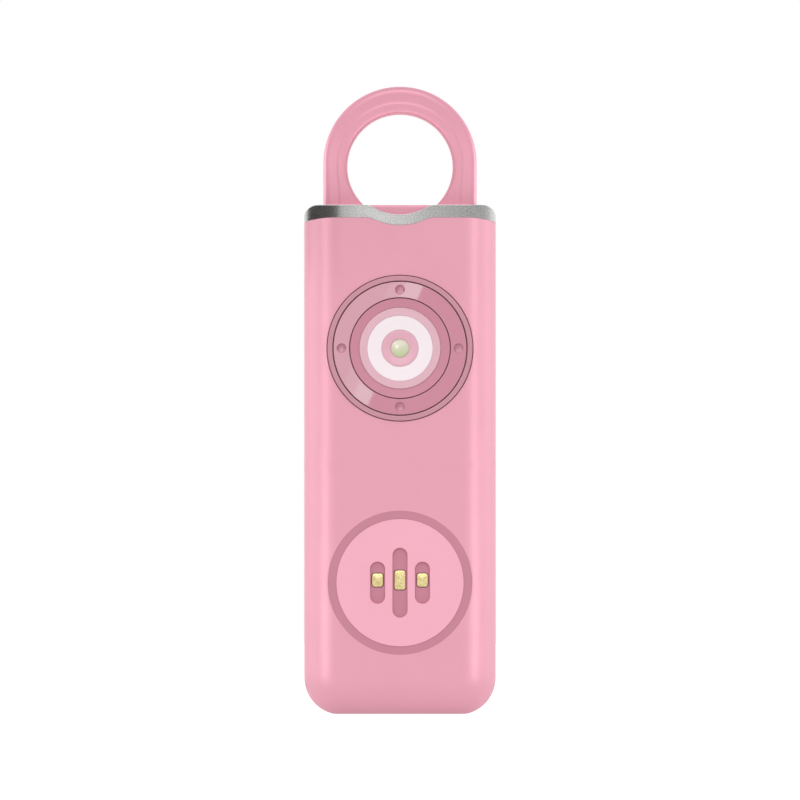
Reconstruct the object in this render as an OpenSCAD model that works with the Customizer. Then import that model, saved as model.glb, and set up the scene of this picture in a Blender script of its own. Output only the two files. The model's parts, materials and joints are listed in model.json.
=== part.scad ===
// Personal safety alarm: a slim rounded casing with a push-button lamp and a round charging pad on its
// front, and a ring on top that pulls out to set the siren off.
// The origin is the centre of the flat base, +Z runs up to the ring and the front faces -Y. Millimetres.

/* [Casing] */
// Width of the casing
body_w = 30; // [29:0.5:34]
// Depth of the casing, front to back
body_d = 18; // [17:0.5:22]
// Height of the casing up to the top of the collar
body_h = 79.6; // [77:0.2:92]
// Radius of the casing's upright and bottom edges
edge_r = 5.8; // [5:0.1:6.2]
// Slice taken off the rounded bottom to make a flat base
base_cut = 0.15; // [0.1:0.05:0.4]
// Thickness of the casing walls
wall = 1.6; // [1.4:0.1:1.8]
// Thickness of the casing's bottom
floor_t = 3.4; // [3.2:0.1:4.5]
// Thickness of the tongue that lines up the two shells
lip_t = 0.7; // [0.5:0.1:0.9]
// Height of that tongue
lip_h = 1; // [0.6:0.1:1.5]

/* [Collar] */
// Height of the metal collar
collar_h = 2; // [1.6:0.1:2.6]
// Corner radius of the collar, seen from the front
collar_corner_r = 2.1; // [1.2:0.1:2.4]
// Drop of the collar's lower edge at the sides
collar_droop = 0.7; // [0.3:0.1:1.2]
// Width over which that edge drops
droop_run = 3.6; // [2.5:0.1:4.5]
// Radius of the finger notch
notch_r = 7.9; // [6:0.1:9]
// Depth of the finger notch
notch_depth = 1.55; // [0.8:0.05:1.8]
// Thickness of the metal left under the notch
band_t = 1.65; // [1.2:0.05:2.2]
// Width of the collar's clips
clip_w = 12; // [8:0.5:16]
// Thickness of the collar's clips
clip_t = 0.8; // [0.6:0.1:0.9]
// Length of the collar's clips
clip_h = 3; // [2.5:0.1:4]
// Radius of the bead that snaps each clip into its shell
bead_r = 0.35; // [0.25:0.05:0.5]

/* [Pull ring] */
// Distance from the casing's side to the ring's side
ring_inset = 3; // [2.7:0.1:4]
// Thickness of the ring at its sides
ring_bar = 3.74; // [3:0.1:4.5]
// Depth of the ring, front to back
ring_t = 7; // [5.5:0.1:8]
// Radius of the ring's outer edges
ring_edge_r = 1.6; // [0.8:0.1:2.2]
// Height of the bow's centre above the collar
bow_rise = 6.6; // [5.5:0.1:9]
// Height of the hole's centre above the collar
hole_rise = 5.9; // [5:0.1:6.4]
// Width of the bevel round the hole
bevel_w = 1.6; // [0.8:0.1:2]
// Depth of the bevel round the hole
bevel_t = 1.1; // [0.6:0.1:1.6]
// Depth of the plug under the ring, front to back
plug_d = 10; // [8.5:0.1:10.4]
// Height of the plug
plug_h = 7; // [5:0.1:9]
// Corner radius of the plug
plug_r = 3; // [2:0.1:3.5]
// Wall of the well that the plug slides in
well_wall = 0.9; // [0.7:0.1:1]
// Floor of that well
well_floor = 1.2; // [0.8:0.1:2]

/* [Trigger] */
// Diameter of the trigger pin
pin_d = 2.5; // [2:0.1:3]
// Length of the pin below the plug
pin_len = 10.7; // [8:0.1:12]
// Length of the pin inside the plug
pin_seat = 3; // [2:0.1:4]
// Length of the pin's tapered tip
pin_tip = 1.2; // [0.6:0.1:2]
// Width of the pin's socket
socket_w = 7; // [6.4:0.1:9]
// Thickness of the socket's floor
socket_floor = 1; // [0.6:0.1:2]
// Thickness of a contact leaf
leaf_t = 0.3; // [0.2:0.05:0.4]
// Width of a contact leaf
leaf_w = 1.8; // [1:0.1:2.2]
// Length of a contact leaf
leaf_h = 7; // [4:0.1:8]

/* [Lamp button] */
// Distance from the collar's top down to the lamp's centre
light_drop = 22.4; // [21.5:0.1:24]
// Outer radius of the lamp's bezel
bezel_r = 11.48; // [11:0.02:11.8]
// Width of the bezel
bezel_w = 1; // [0.7:0.05:1.3]
// Height of the bezel above the front
bezel_rise = 0.2; // [0.1:0.05:1]
// Depth of the recess that the bezel and the pad sit in
recess_depth = 1.5; // [1.2:0.1:1.7]
// Width of the ledge in the recess
ledge_w = 2.1; // [1.9:0.05:2.3]
// Thickness of that ledge
ledge_t = 1.2; // [1:0.1:1.4]
// Height of the retaining ring above the front
retainer_rise = 0.1; // [0:0.05:0.5]
// Number of spanner holes in the retaining ring
spanner_count = 4; // [2:1:8]
// Radius of a spanner hole
spanner_r = 0.8; // [0.5:0.05:1]
// Depth of a spanner hole
spanner_depth = 0.8; // [0.4:0.1:1]
// Radius of the push button
button_r = 7.75; // [7.5:0.05:7.85]
// Travel of the push button
button_travel = 0.5; // [0.3:0.05:0.6]
// Width of the flange that keeps the button in
flange_w = 0.85; // [0.6:0.05:0.9]
// Thickness of that flange
flange_t = 0.9; // [0.7:0.05:1]
// Outer radius of the pale rim
rim_r = 6.35; // [6:0.05:6.6]
// Outer radius of the white reflector
reflector_r = 5.12; // [4.8:0.02:5.4]
// Outer radius of the hub round the lamp
hub_r = 2.85; // [2.6:0.05:3.2]
// Depth of the seat under rim and reflector
seat_depth = 1.3; // [1.1:0.05:1.5]
// Diameter of the lamp
led_d = 3; // [2.6:0.1:3.2]
// Depth of the lamp's tip below the front
led_tip_depth = 0.2; // [0:0.05:0.5]
// Gap between the lamp and the board
led_standoff = 0.5; // [0.3:0.1:0.8]
// Distance of each switch from the lamp's centre
switch_offset = 5.2; // [4.8:0.1:5.6]
// Width of a switch
switch_w = 3.6; // [3:0.1:4.2]
// Height of a switch
switch_h = 1.5; // [1.3:0.1:1.7]
// Radius of a switch plunger
plunger_r = 0.75; // [0.5:0.05:1]

/* [Charging pad] */
// Height of the pad's centre above the base
pad_z = 20.6; // [19:0.1:22]
// Outer radius of the pad
pad_r = 11.22; // [10.8:0.02:11.5]
// Width of the dark ring round the pad
pad_ring_w = 1.27; // [0.8:0.05:1.6]
// Depth of the dark ring below the front
pad_sink = 0.1; // [0:0.05:0.3]
// Height of the pad's cover above the front
cover_rise = 0.1; // [0:0.05:0.3]
// Depth of the slots' floor below the front
slot_floor = 0.75; // [0.6:0.05:0.9]
// Width of the slots
slot_w = 2.33; // [2.1:0.01:2.6]
// Length of the middle slot
slot_long = 10.9; // [8:0.1:13]
// Length of the outer slots
slot_short = 6.57; // [5:0.01:9]
// Distance between the slots
slot_pitch = 3.5; // [3.2:0.05:3.8]
// Width of the contacts
contact_w = 1.8; // [1.4:0.05:1.95]
// Height of the middle contact
contact_long = 3.05; // [2.4:0.05:4]
// Height of the outer contacts
contact_short = 2.13; // [1.6:0.01:3]
// Corner radius of the contacts
contact_r = 0.4; // [0.2:0.05:0.6]
// Depth of the contacts' faces below the front
contact_depth = 0.3; // [0.2:0.05:0.5]
// Height of the contacts above the slots' middle
contact_lift = 0.4; // [0:0.05:0.6]
// Diameter of the contacts' stems
stem_d = 1; // [0.8:0.05:1.2]
// Radius of the docking magnets
magnet_r = 2.1; // [1.6:0.05:2.2]
// Thickness of the docking magnets
magnet_t = 1.5; // [1:0.1:1.6]
// Distance of each magnet from the pad's centre
magnet_offset = 6.7; // [6.5:0.05:6.8]

/* [Board] */
// Depth of the board's face behind the front
board_depth = 5.5; // [5.3:0.1:6]
// Thickness of the board
board_t = 1; // [0.8:0.1:1.2]
// Gap round the board
board_gap = 0.7; // [0.4:0.1:1]
// Radius of the boost coil
coil_r = 3; // [2:0.1:3.5]
// Height of the boost coil
coil_h = 4.4; // [3:0.1:5]
// Width of the control chip
chip_w = 5; // [3:0.1:6]
// Height of the control chip
chip_l = 4; // [3:0.1:5]
// Thickness of the control chip
chip_t = 1.5; // [0.8:0.1:2]

/* [Battery] */
// Width of the battery
battery_w = 20; // [14:0.5:22]
// Thickness of the battery
battery_t = 5; // [3.5:0.1:5.5]
// Thickness of the tape that holds the battery
tape_t = 0.4; // [0.2:0.05:0.8]
// Height of the battery's safety board
guard_h = 3; // [2:0.1:4]
// Diameter of the leads
lead_d = 1; // [0.7:0.05:1.3]

/* [Siren] */
// Radius of the siren's brass plate
siren_r = 11; // [9.5:0.1:11.4]
// Thickness of the brass plate
siren_t = 0.25; // [0.15:0.05:0.5]
// Radius of the ceramic disc on the plate
ceramic_r = 7.5; // [6:0.1:8.5]
// Thickness of the ceramic disc
ceramic_t = 0.2; // [0.1:0.05:0.4]
// Depth of the sound chamber behind the plate
chamber_t = 2; // [1:0.1:2.5]
// Width of the rib that carries the plate
rib_w = 1; // [0.6:0.1:1.4]
// Radius of a sound hole
sound_r = 0.8; // [0.5:0.05:1.1]
// Distance between the sound holes
sound_pitch = 2.6; // [2.4:0.1:3.5]

/* [Screws] */
// Distance of the screws from the centre line
screw_x = 10; // [9.6:0.1:10.2]
// Height of the lower screws
screw_low = 7; // [6.6:0.1:7.4]
// Distance of the upper screws below the lamp's centre
screw_drop = 16.2; // [15.5:0.1:17]
// Radius of the screw bosses
boss_r = 1.9; // [1.6:0.1:2.1]
// Diameter of the screws
screw_d = 1.7; // [1.4:0.1:1.9]
// Radius of a screw head
head_r = 1.6; // [1.3:0.1:1.7]
// Thickness of a screw head
head_t = 1.1; // [0.8:0.1:1.2]
// Depth of the hole that a head sits in
head_depth = 1.4; // [1.2:0.1:1.6]
// Length of screw inside the front boss
bite = 3; // [2:0.1:3.6]

/* [Fits] */
// Gap between the plug and its well, and round the trigger pin
slide_gap = 0.1; // [0.05:0.01:0.15]
// Gap round the push button and the lamp
button_gap = 0.15; // [0.1:0.01:0.2]
// Gap round pieces that are pressed or glued in
seat_gap = 0.05; // [0.02:0.01:0.08]

/* [Hidden] */
$fn = 96;

pink = [0.93, 0.66, 0.72];
deep_pink = [0.79, 0.53, 0.6];
pale_pink = [0.91, 0.72, 0.77];
white = [0.99, 0.93, 0.94];
silver = [0.72, 0.72, 0.71];
gold = [0.9, 0.8, 0.58];
steel = [0.78, 0.78, 0.8];
black = [0.12, 0.12, 0.13];
green = [0.1, 0.36, 0.22];
copper = [0.72, 0.42, 0.24];
brass = [0.8, 0.66, 0.34];
red = [0.75, 0.12, 0.12];
cream = [0.93, 0.91, 0.85];

// overlap that keeps two cut faces from lying on each other
over = 0.5;
front_y = -body_d / 2;
rear_y = body_d / 2;
in_w = body_w - 2 * wall;
in_d = body_d - 2 * wall;
in_r = edge_r - wall;
in_rear = rear_y - wall;
shell_top = body_h - collar_h;
dip_z = body_h - notch_depth + notch_r;

ring_w = body_w - 2 * ring_inset;
ring_r = ring_w / 2;
hole_r = ring_r - ring_bar;
bow_z = body_h + bow_rise;
hole_z = body_h + hole_rise;
plug_bottom = body_h - plug_h;
well_w = ring_w + 2 * slide_gap;
well_d = plug_d + 2 * slide_gap;
well_bottom = plug_bottom - well_floor;
shelf_t = 1;
shelf_w = 18;

pin_r = pin_d / 2;
pin_bore_r = pin_r + slide_gap;
pin_end = plug_bottom - pin_len;
socket_bottom = pin_end - button_travel - socket_floor;
leaf_gap = 0.2;
leaf_x = pin_bore_r + leaf_gap;
leaf_sink = 2;
leaf_top = well_bottom - leaf_sink;

boss_rim = 1.2;
light_z = body_h - light_drop;
light_recess_r = bezel_r + seat_gap;
light_hole_r = light_recess_r - ledge_w;
bezel_in = bezel_r - bezel_w;
retainer_r = bezel_in - 2 * seat_gap;
retainer_in = button_r + button_gap;
flange_r = button_r + flange_w;
ledge_back = recess_depth + ledge_t;
flange_gap = 0.02;
flange_top = recess_depth + flange_gap;
flange_back = flange_top + flange_t;
hub_bore_r = led_d / 2 + button_gap;
plunger_rise = button_travel;
plunger_clear = 0.4;
leg_w = 0.5;
leg_pitch = 2.54;
plunger_top = board_depth - switch_h - plunger_rise;

pad_recess_r = pad_r + seat_gap;
pad_hole_r = pad_recess_r - ledge_w;
cover_r = pad_r - pad_ring_w;
pad_back = recess_depth + ledge_t;

board_front = front_y + board_depth;
board_rear = board_front + board_t;
board_w = in_w - 2 * board_gap;
board_lift = 1;
board_headroom = 0.2;
board_low = floor_t + board_lift;
board_high = well_bottom - board_headroom;
board_room = in_rear - board_rear;

screw_high = light_z - screw_drop;
battery_gap = 0.6;
battery_low = screw_low + boss_r + battery_gap;
battery_high = screw_high - boss_r - battery_gap;
battery_rear = in_rear - tape_t;
guard_t = 1;
guard_w = 2 * (screw_x - boss_r - battery_gap);
siren_front = in_rear - chamber_t - siren_t;
rim_gap = seat_gap;

// Outline helpers

// Rounded rectangle of true arcs, centred on the origin
module rounded_plan(w, d, r) {
    square([w - 2 * r, d], center = true);
    square([w, d - 2 * r], center = true);
    for (x = [-1, 1], y = [-1, 1])
        translate([x * (w / 2 - r), y * (d / 2 - r)]) circle(r);
}

// Upright slot with round ends
module slot_outline(w, length) {
    square([w, length - w], center = true);
    for (y = [-1, 1]) translate([0, y * (length - w) / 2]) circle(w / 2);
}

// Ring seen along its axis
module ring_outline(r_out, r_in) {
    difference() {
        circle(r_out);
        circle(r_in);
    }
}

// Places a shape on the front at a height, with its own +Z running into the casing and its +Y down
module on_front(z) {
    translate([0, front_y, z]) rotate([-90, 0, 0]) children();
}

// Extrudes an outline drawn in X and Z along Y, between two depths
module across(y0, y1) {
    translate([0, y1, 0]) rotate([90, 0, 0]) linear_extrude(y1 - y0) children();
}

// Turns an outline of radius and depth about the axis of a piece on the front
module turned() {
    rotate_extrude() children();
}

// Casing

// Half of the casing's outline where it rounds into the base: straight above, a quarter circle below
module edge_outline(r, top) {
    translate([0, r]) square([r, top - r]);
    intersection() {
        translate([0, r]) circle(r);
        square([r, r]);
    }
}

// Block with round upright edges and round bottom edges, trimmed flat underneath
module casing_block() {
    top = body_h + base_cut;
    flat_w = body_w - 2 * edge_r;
    flat_d = body_d - 2 * edge_r;
    difference() {
        translate([0, 0, -base_cut]) union() {
            translate([-flat_w / 2, -flat_d / 2, 0]) cube([flat_w, flat_d, top]);
            for (side = [0, 180]) rotate(side) {
                translate([flat_w / 2, flat_d / 2, 0]) rotate([90, 0, 0])
                    linear_extrude(flat_d) edge_outline(edge_r, top);
                translate([-flat_w / 2, flat_d / 2, 0]) rotate([90, 0, 90])
                    linear_extrude(flat_w) edge_outline(edge_r, top);
                translate([flat_w / 2, flat_d / 2, 0]) rotate_extrude(angle = 90)
                    edge_outline(edge_r, top);
                translate([-flat_w / 2, flat_d / 2, 0]) rotate(90) rotate_extrude(angle = 90)
                    edge_outline(edge_r, top);
            }
        }
        translate([-body_w, -body_d, -body_h]) cube([2 * body_w, 2 * body_d, body_h]);
    }
}

// What the collar takes from the shells' top edge: a dip in the middle and a slope at each side
module collar_drop_outline() {
    intersection() {
        translate([0, dip_z]) circle(notch_r + band_t);
        translate([-body_w / 2, shell_top - body_h / 2]) square([body_w, body_h / 2]);
    }
    for (side = [-1, 1]) polygon([
        [side * (body_w / 2 - droop_run), shell_top],
        [side * body_w / 2, shell_top],
        [side * body_w / 2, shell_top - collar_droop]
    ]);
}

// The room inside the two shells
module casing_room() {
    translate([0, 0, floor_t]) linear_extrude(body_h) rounded_plan(in_w, in_d, in_r);
}

// Closed casing wall below the collar
module casing_wall() {
    difference() {
        casing_block();
        casing_room();
        across(-body_d, body_d) collar_drop_outline();
        translate([-body_w, -body_d, shell_top]) cube([2 * body_w, 2 * body_d, body_h]);
    }
}

// Tongue along the shells' seam, with a gap when it is cut from the rear shell
module seam_tongue(gap) {
    room_h = shell_top - clip_h - floor_t;
    across(-gap, lip_h + gap) difference() {
        translate([-in_w / 2 - lip_t - gap, floor_t - lip_t - gap])
            square([in_w + 2 * (lip_t + gap), room_h + lip_t + gap]);
        translate([-in_w / 2, floor_t]) square([in_w, room_h + over]);
    }
}

// Shapes repeated at the four screws, seen along Y
module at_screws() {
    for (x = [-screw_x, screw_x], z = [screw_low, screw_high]) translate([x, z]) children();
}

// Shelf that the well stands on
module well_shelf(side) {
    reach = in_d / 2 - well_d / 2;
    y0 = side < 0 ? -in_d / 2 - over : in_d / 2 - reach;
    translate([-shelf_w / 2, y0, well_bottom - shelf_t]) cube([shelf_w, reach + over, shelf_t]);
}

// Groove that a clip's bead snaps into
module clip_groove(side) {
    translate([0, side * in_d / 2, shell_top - clip_h + 2 * bead_r]) rotate([0, 90, 0])
        cylinder(r = bead_r + seat_gap, h = clip_w + 2 * seat_gap, center = true);
}

// Round recess in the front with a ledge and a hole behind it
module recess(z, r, hole) {
    on_front(z) {
        translate([0, 0, -over]) cylinder(r = r, h = recess_depth + over);
        cylinder(r = hole, h = ledge_back + over);
    }
}

// Thickening behind a recess
module recess_boss(z, r) {
    on_front(z) translate([0, 0, wall / 2]) cylinder(r = r + boss_rim, h = ledge_back - wall / 2);
}

module front_shell() {
    color(pink) difference() {
        union() {
            intersection() {
                casing_wall();
                translate([-body_w, -body_d, -over]) cube([2 * body_w, body_d, 2 * body_h]);
            }
            recess_boss(light_z, light_recess_r);
            recess_boss(pad_z, pad_recess_r);
            across(front_y + wall / 2, board_front) at_screws() circle(boss_r);
            well_shelf(-1);
            seam_tongue(0);
        }
        recess(light_z, light_recess_r, light_hole_r);
        recess(pad_z, pad_recess_r, pad_hole_r);
        across(board_front - bite - over, board_front + over) at_screws()
            circle(screw_d / 2 + seat_gap / 2);
        clip_groove(-1);
    }
}

module rear_shell() {
    color(pink) difference() {
        union() {
            intersection() {
                casing_wall();
                translate([-body_w, 0, -over]) cube([2 * body_w, body_d, 2 * body_h]);
            }
            across(board_rear, in_rear + wall / 2) at_screws() circle(boss_r);
            across(in_rear - chamber_t, in_rear + wall / 2) translate([0, light_z])
                ring_outline(siren_r, siren_r - rib_w);
            well_shelf(1);
        }
        seam_tongue(seat_gap);
        across(board_rear - over, body_d) at_screws() circle(screw_d / 2 + slide_gap);
        across(rear_y - head_depth, body_d) at_screws() circle(head_r + slide_gap);
        across(in_rear - over, body_d) translate([0, light_z]) {
            circle(sound_r);
            for (k = [0 : 5]) rotate(60 * k) translate([sound_pitch, 0]) circle(sound_r);
        }
        clip_groove(1);
    }
}

// Collar

module collar_band() {
    arc_over = 0.1;
    color(silver) difference() {
        union() {
            intersection() {
                casing_block();
                across(-body_d, body_d) union() {
                    translate([-body_w / 2 + collar_corner_r, shell_top])
                        square([body_w - 2 * collar_corner_r, collar_h]);
                    for (side = [-1, 1]) intersection() {
                        translate([side * (body_w / 2 - collar_corner_r), body_h - collar_corner_r])
                            circle(collar_corner_r + arc_over);
                        translate([side * body_w / 2 - body_w / 4, shell_top])
                            square([body_w / 2, collar_h]);
                    }
                }
            }
            difference() {
                intersection() {
                    casing_block();
                    across(-body_d, body_d) collar_drop_outline();
                }
                casing_room();
            }
            for (side = [-1, 1]) {
                clip_y = side * (in_d / 2 - seat_gap - clip_t / 2);
                translate([0, clip_y, shell_top - clip_h / 2 + collar_h / 4])
                    cube([clip_w, clip_t, clip_h + collar_h / 2], center = true);
                translate([0, side * (in_d / 2 - seat_gap), shell_top - clip_h + 2 * bead_r])
                    rotate([0, 90, 0]) cylinder(r = bead_r, h = clip_w, center = true);
            }
        }
        across(-body_d, body_d) translate([0, dip_z]) circle(notch_r);
        translate([0, 0, plug_bottom]) linear_extrude(body_h) rounded_plan(well_w, well_d, plug_r);
    }
}

// Tray under the collar that guides the plug
module plug_well() {
    out_w = well_w + 2 * well_wall;
    out_d = well_d + 2 * well_wall;
    color(deep_pink) difference() {
        translate([0, 0, well_bottom]) linear_extrude(shell_top - well_bottom)
            rounded_plan(out_w, out_d, plug_r + well_wall);
        translate([0, 0, plug_bottom]) linear_extrude(body_h) rounded_plan(well_w, well_d, plug_r);
        translate([0, 0, well_bottom - over]) cylinder(r = pin_bore_r, h = well_floor + 2 * over);
    }
}

// Pull ring

// Section of the bow from its axis out to its rounded rim
module bow_section() {
    translate([0, -ring_t / 2]) square([ring_r - ring_edge_r, ring_t]);
    translate([0, ring_edge_r - ring_t / 2]) square([ring_r, ring_t - 2 * ring_edge_r]);
    for (y = [-1, 1]) translate([ring_r - ring_edge_r, y * (ring_t / 2 - ring_edge_r)])
        circle(ring_edge_r);
}

// The ring's hole, flared by a bevel at both faces
module ring_hole() {
    land = ring_t / 2 - bevel_t;
    slope = bevel_w / bevel_t;
    translate([0, 0, hole_z]) rotate([90, 0, 0]) rotate_extrude() polygon([
        [0, -ring_t / 2 - over], [hole_r + bevel_w + slope * over, -ring_t / 2 - over],
        [hole_r, -land], [hole_r, land],
        [hole_r + bevel_w + slope * over, ring_t / 2 + over], [0, ring_t / 2 + over]
    ]);
}

module pull_ring() {
    color(pink) difference() {
        union() {
            difference() {
                union() {
                    translate([0, 0, bow_z]) rotate([90, 0, 0]) rotate_extrude(angle = 180) bow_section();
                    translate([0, 0, body_h]) linear_extrude(bow_rise)
                        rounded_plan(ring_w, ring_t, ring_edge_r);
                }
                ring_hole();
            }
            translate([0, 0, plug_bottom]) linear_extrude(plug_h) rounded_plan(ring_w, plug_d, plug_r);
        }
        translate([0, 0, plug_bottom - over]) cylinder(r = pin_r + seat_gap / 2, h = pin_seat + over);
    }
}

// Trigger pin with a waist that the contact leaves rest beside
module trigger_pin() {
    waist = 0.25;
    waist_h = 2;
    color(steel) rotate_extrude() polygon([
        [0, plug_bottom + pin_seat], [pin_r, plug_bottom + pin_seat],
        [pin_r, pin_end + pin_tip + waist_h + 2 * waist],
        [pin_r - waist, pin_end + pin_tip + waist_h + waist],
        [pin_r - waist, pin_end + pin_tip + waist],
        [pin_r, pin_end + pin_tip], [pin_r / 3, pin_end], [0, pin_end]
    ]);
}

// Pocket across the pin's bore that leaves room for both contact leaves
module leaf_pocket() {
    pocket_w = 2 * (leaf_x + leaf_t + leaf_gap);
    translate([0, 0, leaf_top - leaf_h / 2])
        cube([pocket_w, leaf_w + 2 * leaf_gap, leaf_h + 2 * leaf_gap], center = true);
}

module pin_socket() {
    depth = -2 * board_rear;
    color(black) difference() {
        translate([-socket_w / 2, board_rear, socket_bottom])
            cube([socket_w, depth, well_bottom - socket_bottom]);
        translate([0, 0, socket_bottom + socket_floor]) cylinder(r = pin_bore_r, h = body_h);
        leaf_pocket();
        leaf_tails(seat_gap);
    }
}

// Flat tails that take the leaves to the board
module leaf_tails(gap) {
    for (side = [-1, 1])
        translate([side * (leaf_x + leaf_t / 2), board_rear / 2, leaf_top - leaf_h + leaf_w / 2])
            cube([leaf_t + 2 * gap, -board_rear + gap, leaf_w / 2 + 2 * gap], center = true);
}

module socket_contacts() {
    color(brass) {
        for (side = [-1, 1])
            translate([side * (leaf_x + leaf_t / 2), 0, leaf_top - leaf_h / 2])
                cube([leaf_t, leaf_w, leaf_h], center = true);
        leaf_tails(0);
    }
}

// Lamp button

module bezel_ring() {
    edge = bezel_w * 0.35;
    color(deep_pink) on_front(light_z) turned() {
        translate([bezel_in, -bezel_rise + edge]) square([bezel_w, recess_depth + bezel_rise - edge]);
        translate([bezel_in + edge, -bezel_rise]) square([bezel_w - 2 * edge, edge + over]);
        for (r = [bezel_in + edge, bezel_r - edge]) translate([r, -bezel_rise + edge]) circle(edge);
    }
}

module retainer_ring() {
    hole_pitch = (retainer_r + retainer_in) / 2;
    spigot_in = flange_r + button_gap;
    color(deep_pink) on_front(light_z) difference() {
        turned() {
            translate([retainer_in, -retainer_rise])
                square([retainer_r - retainer_in, recess_depth + retainer_rise]);
            translate([spigot_in, recess_depth - over])
                square([light_hole_r - seat_gap - spigot_in, ledge_t + over]);
        }
        for (k = [1 : spanner_count]) rotate(k * 360 / spanner_count)
            translate([hole_pitch, 0, -retainer_rise - over])
                cylinder(r = spanner_r, h = spanner_depth + over);
    }
}

module light_button() {
    dish = 0.45;
    color(deep_pink) on_front(light_z) {
        turned() polygon([
            [hub_r + seat_gap, flange_back], [flange_r, flange_back], [flange_r, flange_top],
            [button_r, flange_top], [button_r, 0], [rim_r + rim_gap, dish],
            [rim_r + rim_gap, seat_depth], [hub_r + seat_gap, seat_depth]
        ]);
        for (x = [-switch_offset, switch_offset]) translate([x, 0, flange_back - over])
            cylinder(r = plunger_r, h = plunger_top - flange_back + over);
    }
}

module button_rim() {
    edge = (rim_r - reflector_r) * 0.3;
    color(pale_pink) on_front(light_z) turned() {
        translate([reflector_r, edge]) square([rim_r - reflector_r, seat_depth - edge]);
        translate([reflector_r + edge, 0]) square([rim_r - reflector_r - 2 * edge, edge + over]);
        for (r = [reflector_r + edge, rim_r - edge]) translate([r, edge]) circle(edge);
    }
}

module reflector_ring() {
    sink = 0.1;
    dish = 0.25;
    color(white) on_front(light_z) turned() polygon([
        [hub_r + seat_gap, sink + dish], [reflector_r - seat_gap, sink],
        [reflector_r - seat_gap, seat_depth], [hub_r + seat_gap, seat_depth]
    ]);
}

module button_hub() {
    sink = 0.1;
    cup = 0.35;
    edge = 0.2;
    color(pink) on_front(light_z) turned() polygon([
        [hub_bore_r, sink + cup + edge], [hub_bore_r + edge, sink + cup], [hub_r - edge, sink],
        [hub_r, sink + edge],
        [hub_r, flange_back], [hub_bore_r, flange_back]
    ]);
}

// Lamp: a round dome on a straight body with a collar at its foot
module lamp() {
    r = led_d / 2;
    foot = board_depth - led_standoff;
    foot_t = 0.8;
    foot_w = 0.3;
    color(cream) on_front(light_z) turned() {
        translate([0, led_tip_depth + r]) square([r, foot - led_tip_depth - r]);
        translate([0, foot - foot_t]) square([r + foot_w, foot_t]);
        intersection() {
            translate([0, led_tip_depth + r]) circle(r);
            translate([0, led_tip_depth]) square([r, r]);
        }
    }
}

module lamp_legs() {
    tail = 1;
    color(steel) on_front(light_z) for (x = [-1, 1])
        translate([x * leg_pitch / 2 - leg_w / 2, -leg_w / 2, board_depth - led_standoff])
            cube([leg_w, leg_w, led_standoff + board_t + tail]);
}

module button_switches() {
    color(black) on_front(light_z) for (x = [-switch_offset, switch_offset])
        translate([x, 0, board_depth - switch_h]) difference() {
            translate([-switch_w / 2, -switch_w / 2, 0]) cube([switch_w, switch_w, switch_h]);
            translate([0, 0, -over]) cylinder(r = plunger_r + slide_gap, h = switch_h + over / 2);
        }
}

module switch_plungers() {
    sunk = switch_h - plunger_clear - button_travel;
    color(cream) on_front(light_z) for (x = [-switch_offset, switch_offset])
        translate([x, 0, plunger_top]) cylinder(r = plunger_r, h = plunger_rise + sunk);
}

// Charging pad

// Repeats a shape at the three slots, telling it which slot it is
module at_slots() {
    for (k = [-1, 0, 1]) translate([k * slot_pitch, 0]) {
        $slot_length = k == 0 ? slot_long : slot_short;
        $slot_at = k;
        children();
    }
}

module pad_base() {
    color(deep_pink) on_front(pad_z) difference() {
        turned() {
            translate([cover_r, pad_sink]) square([pad_ring_w, recess_depth - pad_sink]);
            translate([0, slot_floor]) square([cover_r + over, recess_depth - slot_floor]);
            translate([0, recess_depth - over]) square([pad_hole_r - seat_gap, ledge_t + over]);
        }
        for (k = [-1 : 1]) translate([k * slot_pitch, -contact_lift, 0])
            cylinder(d = stem_d + seat_gap, h = board_depth);
        for (x = [-magnet_offset, magnet_offset]) translate([x, 0, pad_back - magnet_t])
            cylinder(r = magnet_r + seat_gap, h = magnet_t + over);
    }
}

module pad_cover() {
    color(pink) on_front(pad_z) translate([0, 0, -cover_rise])
        linear_extrude(slot_floor + cover_rise) difference() {
            circle(cover_r - seat_gap);
            at_slots() slot_outline(slot_w, $slot_length);
        }
}

// One contact: a rounded face on a stem that reaches the board
module contact(at, height) {
    color(gold) on_front(pad_z) translate([at * slot_pitch, -contact_lift, 0]) {
        translate([0, 0, contact_depth]) linear_extrude(slot_floor - contact_depth)
            rounded_plan(contact_w, height, contact_r);
        translate([0, 0, slot_floor]) cylinder(d = stem_d, h = board_depth - slot_floor);
    }
}

module dock_magnets() {
    color(steel) on_front(pad_z) for (x = [-magnet_offset, magnet_offset])
        translate([x, 0, pad_back - magnet_t]) cylinder(r = magnet_r, h = magnet_t);
}

// Board and what is soldered to it

module main_board() {
    color(green) difference() {
        translate([-board_w / 2, board_front, board_low])
            cube([board_w, board_t, board_high - board_low]);
        across(board_front - over, board_rear + over) {
            at_screws() circle(screw_d / 2 + 2 * slide_gap);
            for (x = [-1, 1]) translate([x * leg_pitch / 2, light_z]) circle(leg_w);
        }
    }
}

module control_chip() {
    color(black) translate([-chip_w / 2, board_front - chip_t, screw_high - chip_l / 2])
        cube([chip_w, chip_t, chip_l]);
}

// Small chip parts in two columns beside the control chip
module chip_parts() {
    part_w = 1.6;
    part_l = 0.8;
    part_t = 0.6;
    row_pitch = 1.8;
    column_gap = 1.8;
    color(cream) for (x = [-1, 1], k = [-1 : 1])
        translate([x * (chip_w / 2 + column_gap) - part_w / 2, board_front - part_t,
                   screw_high + k * row_pitch - part_l / 2])
            cube([part_w, part_t, part_l]);
}

coil_z = screw_high + 2 * coil_r;
flange_h = 0.8;

module coil_core() {
    color(black) translate([0, board_rear, coil_z]) rotate([-90, 0, 0]) {
        cylinder(r = coil_r, h = flange_h);
        cylinder(r = coil_r / 2, h = coil_h);
        translate([0, 0, coil_h - flange_h]) cylinder(r = coil_r, h = flange_h);
    }
}

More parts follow.
